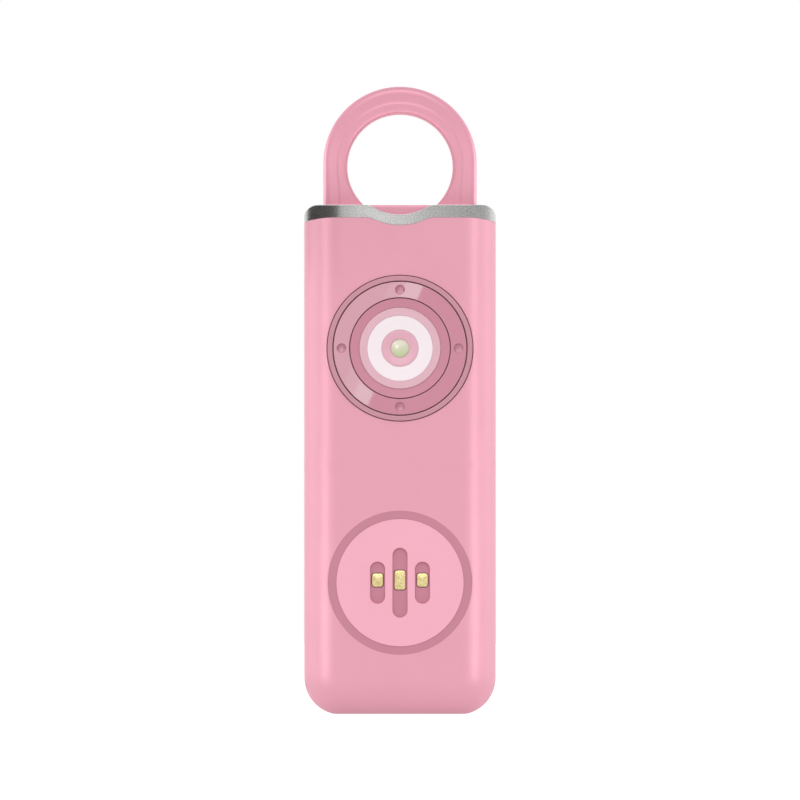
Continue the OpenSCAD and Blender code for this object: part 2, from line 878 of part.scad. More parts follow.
module coil_winding() {
    color(copper) translate([0, board_rear + flange_h, coil_z]) rotate([-90, 0, 0])
        linear_extrude(coil_h - 2 * flange_h) ring_outline(coil_r * 0.9, coil_r / 2);
}

// Battery

module battery() {
    corner = 0.8;
    color(silver) translate([0, battery_rear - battery_t / 2, battery_low])
        linear_extrude(battery_high - battery_low) rounded_plan(battery_w, battery_t, corner);
}

module battery_guard() {
    color(green) translate([-guard_w / 2, battery_rear - battery_t / 2 - guard_t / 2, battery_high])
        cube([guard_w, guard_t, guard_h]);
}

module battery_tape() {
    tape_inset = 2;
    color(cream) translate([-battery_w / 2 + tape_inset, battery_rear, battery_low + tape_inset])
        cube([battery_w - 2 * tape_inset, tape_t, battery_high - battery_low - 2 * tape_inset]);
}

// Leads

// Points on a smooth S from one point to another that leaves and arrives along Y
function s_route(a, b, steps = 8) = [
    for (k = [0 : steps]) let (t = k / steps, s = t * t * (3 - 2 * t))
        [a[0] + (b[0] - a[0]) * s, a[1] + (b[1] - a[1]) * t, a[2] + (b[2] - a[2]) * s]
];

// Ring of a tube across Y at one point
function tube_ring(p, r, sides) = [
    for (k = [0 : sides - 1]) let (turn = 360 * k / sides)
        [p[0] + r * cos(turn), p[1], p[2] + r * sin(turn)]
];

// Round tube along a route that runs towards -Y
module tube(route, r, sides = 8) {
    rings = len(route);
    points = [for (p = route) each tube_ring(p, r, sides)];
    walls = [
        for (i = [0 : rings - 2], k = [0 : sides - 1])
            let (a = i * sides + k, b = i * sides + (k + 1) % sides)
                each [[a, b, b + sides], [a, b + sides, a + sides]]
    ];
    first = [for (k = [1 : sides - 2]) [0, k + 1, k]];
    base = (rings - 1) * sides;
    last = [for (k = [1 : sides - 2]) [base, base + k, base + k + 1]];
    polyhedron(points = points, faces = concat(walls, first, last), convexity = 4);
}

// Lead from the battery's guard to the board
module battery_lead(x) {
    guard_front = battery_rear - battery_t / 2 - guard_t / 2;
    tube(s_route([x, guard_front, battery_high + guard_h / 2],
                 [x, board_rear, battery_high + guard_h / 2 + 2 * lead_d]), lead_d / 2);
}

// Lead from the siren's plate to the board
module siren_lead(x) {
    tube(s_route([x, siren_front, light_z - ceramic_r / 2],
                 [x * 0.7, board_rear, light_z - ceramic_r / 2 - 2 * lead_d]), lead_d / 2);
}

lead_x = 6;
siren_lead_x = ceramic_r + lead_d;

module battery_lead_red() { color(red) battery_lead(lead_x); }
module battery_lead_black() { color(black) battery_lead(-lead_x); }
module siren_lead_red() { color(red) siren_lead(siren_lead_x); }
module siren_lead_black() { color(black) siren_lead(-siren_lead_x); }

// Siren

module siren_plate() {
    color(brass) across(siren_front, siren_front + siren_t) translate([0, light_z]) circle(siren_r);
}

module siren_ceramic() {
    color(cream) across(siren_front - ceramic_t, siren_front) translate([0, light_z]) circle(ceramic_r);
}

// Screws

// One screw along Y: a flat head with a cross recess, and its shank
module case_screw() {
    head_seat = rear_y - head_depth;
    cross_w = head_r * 0.35;
    cross_l = head_r * 1.3;
    difference() {
        across(head_seat, head_seat + head_t) circle(head_r);
        for (turn = [0, 90]) translate([0, head_seat + head_t, 0]) rotate([0, turn, 0])
            cube([cross_w, head_t, cross_l], center = true);
    }
    across(board_front - bite, head_seat) circle(screw_d / 2);
}

module case_screws() {
    color(steel) for (x = [-screw_x, screw_x], z = [screw_low, screw_high])
        translate([x, 0, z]) case_screw();
}

front_shell();
rear_shell();
collar_band();
plug_well();
pull_ring();
trigger_pin();
pin_socket();
socket_contacts();
bezel_ring();
retainer_ring();
light_button();
button_rim();
reflector_ring();
button_hub();
lamp();
lamp_legs();
button_switches();
switch_plungers();
pad_base();
pad_cover();
contact(-1, contact_short);  // contact_left
contact(0, contact_long);  // contact_centre
contact(1, contact_short);  // contact_right
dock_magnets();
main_board();
control_chip();
chip_parts();
coil_core();
coil_winding();
battery();
battery_guard();
battery_tape();
battery_lead_red();
battery_lead_black();
siren_plate();
siren_ceramic();
siren_lead_red();
siren_lead_black();
case_screws();
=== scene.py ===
import json

import bmesh
import bpy
import numpy as np
from mathutils.geometry import delaunay_2d_cdt, tessellate_polygon
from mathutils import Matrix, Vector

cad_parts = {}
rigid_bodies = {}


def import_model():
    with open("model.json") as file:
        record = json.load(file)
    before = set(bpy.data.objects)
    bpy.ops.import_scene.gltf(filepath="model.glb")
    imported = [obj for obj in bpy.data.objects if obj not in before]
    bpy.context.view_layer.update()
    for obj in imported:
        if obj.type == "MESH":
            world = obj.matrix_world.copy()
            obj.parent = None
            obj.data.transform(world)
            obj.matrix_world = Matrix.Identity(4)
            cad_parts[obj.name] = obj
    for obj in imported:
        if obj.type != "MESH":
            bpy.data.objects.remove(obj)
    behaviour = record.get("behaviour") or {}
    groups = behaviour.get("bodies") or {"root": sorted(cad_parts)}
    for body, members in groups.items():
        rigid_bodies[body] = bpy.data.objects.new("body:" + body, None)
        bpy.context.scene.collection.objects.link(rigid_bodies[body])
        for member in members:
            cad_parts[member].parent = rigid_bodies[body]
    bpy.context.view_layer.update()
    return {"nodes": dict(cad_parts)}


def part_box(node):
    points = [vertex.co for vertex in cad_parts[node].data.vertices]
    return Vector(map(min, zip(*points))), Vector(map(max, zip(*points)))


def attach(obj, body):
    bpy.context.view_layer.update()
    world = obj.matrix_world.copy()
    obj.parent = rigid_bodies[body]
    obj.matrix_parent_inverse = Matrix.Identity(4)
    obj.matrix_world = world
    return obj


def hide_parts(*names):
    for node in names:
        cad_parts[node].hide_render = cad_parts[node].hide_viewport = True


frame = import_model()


# Front half of the casing: a shell moulded in satin pink plastic, rounded down its sides and under its base.
# Two stepped round seats in its face take the lamp unit and the charging pad, and a fine groove runs where
# it meets the rear half.

shell_low, shell_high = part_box("front_shell")
half_w = shell_high.x
half_d = -shell_low.y
shell_top = shell_high.z
edge_r = 5.8e-3
base_cut = 0.15e-3
wall = 1.6e-3
groove, groove_w = 0.10e-3, 0.14e-3
rim_r, seat_rim_r = 0.12e-3, 0.03e-3

flat_x, flat_y = half_w - edge_r, half_d - edge_r
roll_z = edge_r - base_cut
base_roll = np.arcsin(roll_z / edge_r)
round_end = flat_x + edge_r * np.pi / 2
s_end = round_end + flat_y

dip_r, dip_z, dip_soft = 9.55e-3, 85.95e-3, 0.15e-3
droop, droop_x = 0.7e-3, 10.3e-3


def linear(red, green, blue):
    """Colour as light, from the 0 to 255 numbers of a screen colour: each c / 255 becomes
    ((c + 0.055) / 1.055) to the power 2.4."""
    return ((np.array([red, green, blue]) / 255 + 0.055) / 1.055) ** 2.4


def add_node(tree, kind, inputs=None, **settings):
    """Adds one shader node, sets its settings, and sets or links each input given by name."""
    made = tree.nodes.new("ShaderNode" + kind)
    for name, value in settings.items():
        setattr(made, name, value)
    for name, value in (inputs or {}).items():
        if isinstance(value, bpy.types.NodeSocket):
            tree.links.new(value, made.inputs[name])
        else:
            made.inputs[name].default_value = value
    return made


def two_tones(tree, share, dark, light, low=0.3, high=0.7):
    """Colour that goes from dark where share is low to light where it is high."""
    ramp = add_node(tree, "ValToRGB", {"Fac": share})
    for stop, place, tone in zip(ramp.color_ramp.elements, (low, high), (dark, light)):
        stop.position, stop.color = place, (*tone, 1)
    return ramp.outputs["Color"]


def moulded_plastic(name, tone, roughness, relief, grain=0.16e-3, mottle=0.01, tint=(1, 1, 1), shine=0.5, lustre=0.0):
    """Moulded plastic. A noise with features of the size grain lifts the skin by relief and varies the gloss by
    a tenth, and one forty times as broad varies the colour by mottle."""
    finish = bpy.data.materials.new(name)
    finish.use_nodes = True
    tree = finish.node_tree
    shader = tree.nodes["Principled BSDF"]
    place = add_node(tree, "TexCoord").outputs["Object"]
    fine = add_node(tree, "TexNoise", {"Vector": place, "Scale": 1 / grain, "Detail": 2.0}).outputs["Fac"]
    broad = add_node(tree, "TexNoise", {"Vector": place, "Scale": 0.025 / grain, "Detail": 3.0}).outputs["Fac"]
    colour = two_tones(tree, broad, tone * (1 - mottle), np.minimum(tone * (1 + mottle), 1))
    gloss = add_node(tree, "MapRange", {"Value": fine, "To Min": roughness * 0.9, "To Max": roughness * 1.1})
    lift = add_node(tree, "Bump", {"Height": fine, "Distance": relief})
    tree.links.new(colour, shader.inputs["Base Color"])
    tree.links.new(gloss.outputs["Result"], shader.inputs["Roughness"])
    tree.links.new(lift.outputs["Normal"], shader.inputs["Normal"])
    shader.inputs["Specular Tint"].default_value = (*tint, 1)
    shader.inputs["Specular IOR Level"].default_value = shine
    shader.inputs["Metallic"].default_value = lustre
    return finish


def make_piece(name, grids, plates, body, node, finish, crease=42):
    """One closed mesh. Neighbours along the two directions of each grid make four-sided faces, plates add flat
    triangles, and points that lie together are welded. It rides on body and stands for the CAD node."""
    points, faces, start = [], [], 0
    for grid in grids:
        index = start + np.arange(grid[..., 0].size).reshape(grid.shape[:2])
        square = np.stack((index[:-1, :-1], index[:-1, 1:], index[1:, 1:], index[1:, :-1]), -1)
        faces += square.reshape(-1, 4).tolist()
        points.append(grid.reshape(-1, 3))
        start += index.size
    for corners, triangles in plates:
        faces += (start + triangles).tolist()
        points.append(corners)
        start += len(corners)
    mesh = bpy.data.meshes.new(name)
    mesh.from_pydata(np.concatenate(points).tolist(), [], faces)
    weld, sliver = 1e-6, 1e-7
    skin = bmesh.new()
    skin.from_mesh(mesh)
    bmesh.ops.remove_doubles(skin, verts=skin.verts, dist=weld)
    bmesh.ops.dissolve_degenerate(skin, edges=skin.edges, dist=sliver)
    bmesh.ops.recalc_face_normals(skin, faces=skin.faces)
    skin.to_mesh(mesh)
    skin.free()
    mesh.shade_smooth()
    mesh.set_sharp_from_angle(angle=np.radians(crease))
    mesh.materials.append(finish)
    piece = bpy.data.objects.new(name, mesh)
    bpy.context.collection.objects.link(piece)
    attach(piece, body)
    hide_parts(node)
    return piece


def casing_skin(s, t, inset, facing):
    """Skin of half a casing by the distance s round it and t up it. In plan it is flat, then a quarter circle of
    edge_r, then flat to the seam. Above t = 0 the wall is straight, and below it rolls under on edge_r.
    inset moves it inwards. facing is -1 for the front half and 1 for the rear half."""
    turn = np.clip((np.abs(s) - flat_x) / edge_r, 0, np.pi / 2)
    past = np.maximum(np.abs(s) - round_end, 0)
    roll = np.clip(-t / edge_r, 0, base_roll)
    radius = (edge_r - inset) * np.cos(roll)
    x = np.sign(s) * (np.minimum(np.abs(s), flat_x) + radius * np.sin(turn))
    y = facing * (flat_y + radius * np.cos(turn) - past)
    z = roll_z + np.maximum(t, 0) - (edge_r - inset) * np.sin(roll)
    return np.stack(np.broadcast_arrays(x, y, z), -1)


def skin_turn(x, inset):
    """Angle by which the skin has turned from the flat face at the place x across it."""
    return np.arcsin(np.clip((np.abs(x) - flat_x) / (edge_r - inset), 0, 1))


def level_with_dip(x, level, radius):
    """Level line that runs smoothly into an arc of this radius about (0, dip_z), where the arc lies below it."""
    arc = dip_z - np.sqrt(np.maximum(radius ** 2 - x ** 2, 0))
    return level - dip_soft * np.log1p(np.exp((level - arc) / dip_soft))


def seam_height(x):
    """Line where the shells meet the collar: level, with a dip under the notch and a slope at both sides."""
    slope = np.maximum(np.abs(x) - droop_x, 0) / (half_w - droop_x)
    return level_with_dip(x, shell_top, dip_r) - droop * slope ** 2


def spread(middle, half, count):
    """Steps across middle +- half at the tangents of even angles, so that they face even steps of a circle."""
    return middle + half * np.tan(np.linspace(-np.pi / 4, np.pi / 4, count + 1))


def half_casing(facing, columns, rows, open_cells):
    """Both skins of half a casing: a grid for each block of s and t but the open cells, a strip up to the
    collar's line, a base drawn flat to the seam in the steps of the sides, and the rim that joins the skins."""
    across = np.concatenate([columns[0]] + [s[1:] for s in columns[1:]])
    under = across[len(columns[0]) - 1:1 - len(columns[-1])]
    up = np.concatenate([rows[0]] + [t[1:] for t in rows[1:]])
    grids, rims = [], []
    for depth, edge_depth in ((0.0, groove), (wall, wall)):
        def inset(s):
            return np.where(np.abs(s) > s_end - groove_w / 2, edge_depth, depth)
        for i, s in enumerate(columns):
            for j, t in enumerate(rows):
                if (i, j) not in open_cells:
                    grids.append(casing_skin(s, t[:, None], inset(s), facing))
        side = casing_skin(across[[0, -1]], up[:, None], inset(across[[0, -1]]), facing)
        top_t = seam_height(casing_skin(across, up[-1], inset(across), facing)[:, 0]) - roll_z
        rise = np.linspace(0, 1, 5)[:, None]
        strip = casing_skin(across, up[-1] + (top_t - up[-1]) * rise, inset(across), facing)
        foot = casing_skin(under, up[0], depth, facing)
        corner = casing_skin(columns[-1], up[0], inset(columns[-1]), facing)[:, None]
        base = np.stack(np.broadcast_arrays(foot[:, 0] * corner[..., 0] / foot[-1, 0],
                                            foot[:, 1] * corner[..., 1] / foot[-1, 1], corner[..., 2]), -1)
        grids += [strip, base]
        rims.append(np.concatenate((strip[::-1, 0], side[::-1, 0], base[-1], side[:, 1], strip[:, -1],
                                    strip[-1, ::-1])))
    return grids + [np.stack(rims)]


def round_steps(count):
    """Even angles round a hole, four times count of them, from one side back to it."""
    return np.linspace(-np.pi, np.pi, 4 * count + 1)


def skin_s(x, inset):
    """Distance round the skin to the place x across it."""
    return np.sign(x) * (np.minimum(np.abs(x), flat_x) + edge_r * skin_turn(x, inset))


def skin_round_hole(x0, z0, radius, inset, facing, half_s, half_t, count):
    """Skin from a round hole out to the rectangle of skin about it. Straight lines in s and t run from even
    angles on the hole to the places on the rectangle at the same angles, in steps that grow as a power of the way."""
    step_count, step_growth = 12, 1.6
    across, up = np.cos(round_steps(count)), np.sin(round_steps(count))
    reach = 1 / np.maximum(np.abs(across), np.abs(up))
    hole_s, hole_t = skin_s(x0 + radius * across, inset), z0 - roll_z + radius * up
    cell_s, cell_t = skin_s(x0, 0) + half_s * across * reach, z0 - roll_z + half_t * up * reach
    out = np.linspace(0, 1, step_count)[:, None] ** step_growth
    return casing_skin(hole_s + (cell_s - hole_s) * out, hole_t + (cell_t - hole_t) * out, inset, facing)


def skin_hole_edge(x0, z0, radius, edge_round, facing, count):
    """Edge of a round hole in the skin: a quarter circle of edge_round from the skin to the wall of the hole."""
    bend = np.linspace(0, np.pi / 2, 5)[:, None]
    reach = radius + edge_round * (1 - np.sin(bend))
    angle = round_steps(count)
    edge = casing_skin(skin_s(x0 + reach * np.cos(angle), 0), z0 - roll_z + reach * np.sin(angle), 0, facing)
    edge[..., 1] -= facing * edge_round * (1 - np.cos(bend))
    return edge


def bore(x0, z0, stations, count):
    """Stepped round bore along Y: one ring of even angles for each station's radius and depth."""
    angle = round_steps(count)
    return np.stack([np.stack(np.broadcast_arrays(x0 + radius * np.cos(angle), y, z0 + radius * np.sin(angle)), -1)
                     for radius, y in stations])


bezel_low, bezel_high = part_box("bezel_ring")
lamp_z = (bezel_low.z + bezel_high.z) / 2
pad_low, pad_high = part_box("pad_base")
pad_z = (pad_low.z + pad_high.z) / 2
bezel_lap, pad_gap = 0.03e-3, 0.005e-3
lamp_seat_r, pad_seat_r = bezel_high.x - bezel_lap, pad_high.x + pad_gap
lamp_hole_r, pad_hole_r = 9.43e-3, 9.17e-3
seat_depth, seat_back, boss_rim = 1.5e-3, 2.7e-3, 1.2e-3
seat_floor, boss_back = -half_d + seat_depth, -half_d + seat_back

cell_t = (lamp_z - pad_z) / 2
seat_steps, base_steps = 64, 14
side_steps = np.concatenate((np.linspace(round_end, s_end - groove_w, 4), [s_end]))
front_columns = [-side_steps[::-1], spread(0, round_end, seat_steps), side_steps]
front_rows = [np.linspace(-edge_r * base_roll, pad_z - roll_z - cell_t, base_steps),
              spread(pad_z - roll_z, cell_t, seat_steps), spread(lamp_z - roll_z, cell_t, seat_steps)]
front_grids = half_casing(-1, front_columns, front_rows, {(1, 1), (1, 2)})
for z0, seat_r, seat_hole_r in ((lamp_z, lamp_seat_r, lamp_hole_r), (pad_z, pad_seat_r, pad_hole_r)):
    boss_r = seat_r + boss_rim
    outside = skin_round_hole(0, z0, seat_r + seat_rim_r, 0, -1, round_end, cell_t, seat_steps)
    inside = skin_round_hole(0, z0, boss_r, wall, -1, round_end, cell_t, seat_steps)
    steps = bore(0, z0, [(seat_r, seat_floor), (seat_hole_r, seat_floor), (seat_hole_r, boss_back),
                         (boss_r, boss_back)], seat_steps)
    edge = skin_hole_edge(0, z0, seat_r, seat_rim_r, -1, seat_steps)
    front_grids += [outside, np.concatenate((edge, steps, inside[:1])), inside]

casing_satin = dict(roughness=0.42, relief=1.6e-6, mottle=0.015, tint=linear(255, 214, 224), shine=0.9, lustre=0.12)
casing_pink = moulded_plastic("casing_pink", linear(222, 156, 173), **casing_satin)
make_piece("casing_front", front_grids, [], "casing", "front_shell", casing_pink)


# Rear half of the casing: the same pink moulding without seats. Four counterbored holes take the case screws,
# and seven small holes in a rosette let the sound of the siren out.

screw_low, screw_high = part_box("case_screws")
screw_head_r = 1.6e-3
screw_x = screw_high.x - screw_head_r
screw_zs = (screw_low.z + screw_head_r, screw_high.z - screw_head_r)
sink_r, sink_depth, screw_hole_r = 1.7e-3, 1.4e-3, 0.95e-3
sound_r, sound_pitch, sound_count, sound_half = 0.8e-3, 2.6e-3, 6, 5.2e-3
screw_cell, screw_steps = 3.7e-3, 16


def flat_plate(loops, y):
    """Flat face at the depth y inside the first loop of (x, z) points and outside the others, as triangles between
    the loops. A triangle with all its corners on one hole fills that hole, and is left out."""
    sizes = [len(loop) for loop in loops]
    owner = np.repeat(np.arange(len(loops)), sizes)
    first = np.repeat(np.cumsum([0] + sizes[:-1]), sizes)
    here = np.arange(len(owner))
    rims = np.stack((here, first + (here - first + 1) % np.repeat(sizes, sizes)), -1)
    corners, _, triangles, origin, *_ = delaunay_2d_cdt(np.concatenate(loops).tolist(), rims.tolist(), [], 0, 1e-9)
    owners = owner[[source[0] for source in origin]][np.array(triangles)]
    fills = (owners == owners[:, :1]).all(1) & (owners[:, 0] > 0)
    return np.insert(np.array(corners), 1, y, axis=1), np.array(triangles)[~fills]


def circle(x0, z0, radius, count=48):
    """Even points round a circle."""
    angle = np.linspace(0, 2 * np.pi, count, endpoint=False)
    return np.stack((x0 + radius * np.cos(angle), z0 + radius * np.sin(angle)), -1)


screw_s = flat_x + edge_r * skin_turn(screw_x, 0)
screw_s_steps = spread(screw_s, screw_cell, screw_steps)
outer_s_steps = np.linspace(screw_s + screw_cell, round_end, 9)
middle_s_steps = np.linspace(screw_cell - screw_s, screw_s - screw_cell, 15)
rear_columns = [-side_steps[::-1], -outer_s_steps[::-1], -screw_s_steps[::-1], middle_s_steps, screw_s_steps,
                outer_s_steps, side_steps]
low_t, high_t, sound_t = screw_zs[0] - roll_z, screw_zs[1] - roll_z, lamp_z - roll_z
rear_rows = [np.linspace(-edge_r * base_roll, low_t - screw_cell, base_steps), spread(low_t, screw_cell, screw_steps),
             np.linspace(low_t + screw_cell, high_t - screw_cell, 12), spread(high_t, screw_cell, screw_steps),
             np.linspace(high_t + screw_cell, sound_t - sound_half, 6),
             np.linspace(sound_t - sound_half, sound_t + sound_half, 13),
             np.linspace(sound_t + sound_half, front_rows[-1][-1], 8)]
rear_grids = half_casing(1, rear_columns, rear_rows, {(2, 1), (4, 1), (2, 3), (4, 3), (3, 5)})
for z0 in screw_zs:
    for x0 in (-screw_x, screw_x):
        outside = skin_round_hole(x0, z0, sink_r + rim_r, 0, 1, screw_cell, screw_cell, screw_steps)
        inside = skin_round_hole(x0, z0, screw_hole_r, wall, 1, screw_cell, screw_cell, screw_steps)
        steps = bore(x0, z0, [(sink_r, half_d - sink_depth), (screw_hole_r, half_d - sink_depth)], screw_steps)
        edge = skin_hole_edge(x0, z0, sink_r, rim_r, 1, screw_steps)
        rear_grids += [outside, np.concatenate((edge, steps, inside[:1])), inside]

sound_angle = np.arange(sound_count) * 2 * np.pi / sound_count
sound_places = [(0.0, lamp_z)] + [(sound_pitch * np.sin(a), lamp_z + sound_pitch * np.cos(a)) for a in sound_angle]
block_x, block_z = middle_s_steps, rear_rows[5] + roll_z
block_edge = np.concatenate([np.stack(np.broadcast_arrays(x, z), -1)[:-1] for x, z in (
    (block_x, block_z[0]), (block_x[-1], block_z), (block_x[::-1], block_z[-1]), (block_x[0], block_z[::-1]))])
hole_steps, hole_support = 12, 0.06e-3
sound_edge_r = sound_r + rim_r
rear_plates = [flat_plate([block_edge] + [circle(*place, radius, 4 * hole_steps) for place in sound_places], y)
               for radius, y in ((sound_edge_r + hole_support, half_d), (sound_r, half_d - wall))]
for x0, z0 in sound_places:
    outside = bore(x0, z0, [(sound_edge_r + hole_support, half_d), (sound_edge_r, half_d)], hole_steps)
    edge = skin_hole_edge(x0, z0, sound_r, rim_r, 1, hole_steps)
    inside = bore(x0, z0, [(sound_r, half_d - rim_r), (sound_r, half_d - wall)], hole_steps)
    rear_grids += [outside, edge, inside]
make_piece("casing_rear", rear_grids, rear_plates, "casing", "rear_shell", casing_pink)


# Collar: a cast metal band with a fine satin grain, closing the top of the casing round the mouth of the well.
# Its front and rear edges are notched for a finger, it dips below each notch, and it is clipped into the shells.

collar_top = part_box("collar_band")[1].z
plug_low, ring_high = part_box("pull_ring")
notch_r = 7.9e-3
corner_r, corner_over = 2.1e-3, 0.1e-3
slot_gap, slot_r = 0.1e-3, 3.0e-3
slot_x, slot_y = ring_high.x + slot_gap - slot_r, ring_high.y + slot_gap - slot_r
collar_edge_r, collar_lip_r, collar_break = 0.14e-3, 0.15e-3, 0.04e-3
notch_ends = 3.6e-3, 5.9e-3
near_hold, far_hold, foot_hold = 1.3, 1.4, 2.2


def collar_height(x):
    """Top of the collar: level, dipping into the notch, and rounded off at both sides."""
    beyond = np.maximum(np.abs(x) - (half_w - corner_r), 0)
    drop = corner_r - np.sqrt(np.maximum((corner_r + corner_over) ** 2 - beyond ** 2, 0)) + corner_over
    return level_with_dip(x, collar_top, notch_r) - np.where(beyond > 0, drop, 0)


def collar_walk():
    """Walk round the collar in plan. Gives the outer outline, the outline of the slot at the same turns, and the
    outward direction: a straight front, a quarter turn, a straight side, a quarter turn, then the other half. The
    front has finer steps at the ends of the notch."""
    fine = np.linspace(*notch_ends, 36)
    front = np.sort(np.concatenate((np.linspace(-flat_x, flat_x, 25), -fine, fine)))
    turn = np.linspace(0, np.pi / 2, 24)
    side = np.linspace(-1, 1, 9)
    ahead, right = np.zeros_like(front), np.full_like(side, np.pi / 2)
    angle = np.concatenate((ahead, turn, right, turn + np.pi / 2))
    way = np.stack((np.sin(angle), -np.cos(angle)), -1)
    share = np.concatenate((np.stack((front / flat_x, ahead - 1), -1), np.tile((1.0, -1.0), (len(turn), 1)),
                            np.stack((side * 0 + 1, side), -1), np.tile((1.0, 1.0), (len(turn), 1))))
    outer = share * (flat_x, flat_y) + way * edge_r
    slot = share * (slot_x, slot_y) + way * slot_r
    return [np.concatenate((half, -half, half[:1])) for half in (outer, slot, way)]


def collar_skin():
    """Rows of the collar's skin, each the whole walk: up the slot, over its rounded lip, across the top, over the
    outer edge, down the outside, and back under. A row a little beyond each round keeps the flat beside it flat."""
    outer, slot, way = collar_walk()
    bend = np.linspace(0, np.pi / 2, 6)
    rows = [(slot, None, shell_top)]
    rows += [(slot + way * collar_lip_r * (1 - np.cos(a)), collar_lip_r * (1 - np.sin(a)), None) for a in bend]
    inside, outside = slot + way * collar_lip_r * far_hold, outer - way * collar_edge_r * near_hold
    rows += [(inside + (outside - inside) * share, 0.0, None) for share in np.linspace(0, 1, 6)]
    rows += [(outer - way * collar_edge_r * (1 - np.sin(a)), collar_edge_r * (1 - np.cos(a)), None) for a in bend]
    rows += [(outer, collar_edge_r * far_hold, None)]
    loops = [np.column_stack((place, np.full(len(place), z) if drop is None else collar_height(place[:, 0]) - drop))
             for place, drop, z in rows]
    for inset, lift in ((0, foot_hold), (0, 1), (collar_break, 0), (wall, 0)):
        place = outer - way * inset
        loops.append(np.column_stack((place, seam_height(place[:, 0]) + lift * collar_break)))
    loops.append(np.column_stack((outer - way * wall, np.full(len(outer), shell_top))))
    return np.stack(loops + loops[:1])


def grained_metal(name, dark, light, roughness, grain, relief):
    """Metal with a fine grain: a noise with features of the size grain lifts its skin by relief and takes the colour
    from dark to light, and a second one varies the gloss."""
    finish = bpy.data.materials.new(name)
    finish.use_nodes = True
    tree = finish.node_tree
    shader = tree.nodes["Principled BSDF"]
    place = add_node(tree, "TexCoord").outputs["Object"]
    speck = add_node(tree, "TexNoise", {"Vector": place, "Scale": 1 / grain, "Detail": 3.0}).outputs["Fac"]
    patch = add_node(tree, "TexNoise", {"Vector": place, "Scale": 0.2 / grain, "Detail": 1.0}).outputs["Fac"]
    gloss = add_node(tree, "MapRange", {"Value": patch, "To Min": roughness * 0.85, "To Max": roughness * 1.15})
    lift = add_node(tree, "Bump", {"Height": speck, "Distance": relief})
    tree.links.new(two_tones(tree, speck, dark, light), shader.inputs["Base Color"])
    tree.links.new(gloss.outputs["Result"], shader.inputs["Roughness"])
    tree.links.new(lift.outputs["Normal"], shader.inputs["Normal"])
    shader.inputs["Metallic"].default_value = 1.0
    return finish


collar_metal = grained_metal("collar_metal", linear(178, 178, 178), linear(231, 231, 229), roughness=0.36,
                             grain=0.2e-3, relief=6.0e-6)
make_piece("collar", [collar_skin()], [], "casing", "collar_band", collar_metal)


# Pull ring: one pink moulding, a finger ring whose two legs stand on a long round-ended plug. A hollow step runs round
# it at an even distance from its outline, and the part inside the step, next to the hole, stands a little proud.
# The plug sits in the well under the collar until it is pulled.

ring_r, bow_z = ring_high.x, ring_high.z - ring_high.x
hole_r, hole_z = 8.26e-3, 85.65e-3
ring_half_t, ring_round, hole_round = 3.5e-3, 1.1e-3, 0.85e-3
step_in, step_rise, step_run, crest, bevel_fall = 2.75e-3, 0.11e-3, 0.55e-3, 0.04e-3, 0.02
plug_top, foot_sink = collar_top, 0.4e-3
plug_r, plug_edge_r, plug_foot_r, plug_lip = 3.0e-3, 0.35e-3, 0.5e-3, 0.02e-3
pin_low, pin_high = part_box("trigger_pin")


def ring_bow(u):
    """Outline of the ring and edge of its hole at the share u of the way from one foot to the other. The outline
    rises straight, turns half a circle and falls straight, and the hole is most of a circle."""
    leg, bow = bow_z - plug_top, np.pi * ring_r
    way = u * (2 * leg + bow)
    turn = np.clip((way - leg) / ring_r, 0, np.pi)
    fall = np.minimum(way, leg) - np.maximum(way - leg - bow, 0)
    outline = np.stack((ring_r * np.cos(turn), plug_top + fall + ring_r * np.sin(turn)), -1)
    gap = np.arcsin((plug_top - hole_z) / hole_r)
    angle = gap + u * (np.pi - 2 * gap)
    hole = np.stack((hole_r * np.cos(angle), hole_z + hole_r * np.sin(angle)), -1)
    return outline, hole


def ring_section(width):
    """Half the ring's section, as steps in from the outline and half thicknesses: a round outer edge, a flat band,
    a hollow that rises to the step's crest at step_in as the square of the way, and a slight fall from there to
    the round edge of the hole at width."""
    bend = np.linspace(0, np.pi / 2, 10)
    rise = np.linspace(0, 1, 9)
    band_t = ring_half_t - step_rise
    bevel = np.arctan(bevel_fall)
    lip = np.linspace(bevel, np.pi / 2, 12)
    outer_steps = np.concatenate(([0], ring_round * (1 - np.cos(bend)), [ring_round * near_hold],
                                  step_in - crest - step_run * (1 - rise), [step_in, step_in + crest]))
    outer_halves = np.concatenate(([0], band_t - ring_round * (1 - np.sin(bend)), [band_t],
                                   band_t + step_rise * rise ** 2, [ring_half_t, ring_half_t - crest * bevel_fall]))
    lip_t = ring_half_t - bevel_fall * (width - step_in - hole_round)
    lip_steps = width[:, None] - hole_round * np.append(1 - np.sin(lip), 0)
    lip_halves = lip_t[:, None] - hole_round * (1 - np.cos(lip))
    steps = np.concatenate((np.tile(outer_steps, (len(width), 1)), lip_steps), 1)
    halves = np.concatenate((np.tile(outer_halves, (len(width), 1)), lip_halves, 0 * width[:, None]), 1)
    return steps, halves


def ring_skin():
    """Section carried from foot to foot, with each step laid off from the outline towards the hole. The first and
    last rows sink the feet a little into the plug."""
    u = np.linspace(0, 1, 193)
    outline, hole = ring_bow(u)
    width = np.linalg.norm(hole - outline, axis=1)
    steps, halves = ring_section(width)
    steps = np.concatenate((steps, steps[:, -2::-1]), 1)
    halves = np.concatenate((-halves, halves[:, -2::-1]), 1)
    across = (hole - outline) / width[:, None]
    place = outline[:, None] + across[:, None] * steps[..., None]
    skin = np.stack((place[..., 0], halves, place[..., 1]), -1)
    return np.concatenate((skin[:1] - (0, 0, foot_sink), skin, skin[-1:] - (0, 0, foot_sink)))


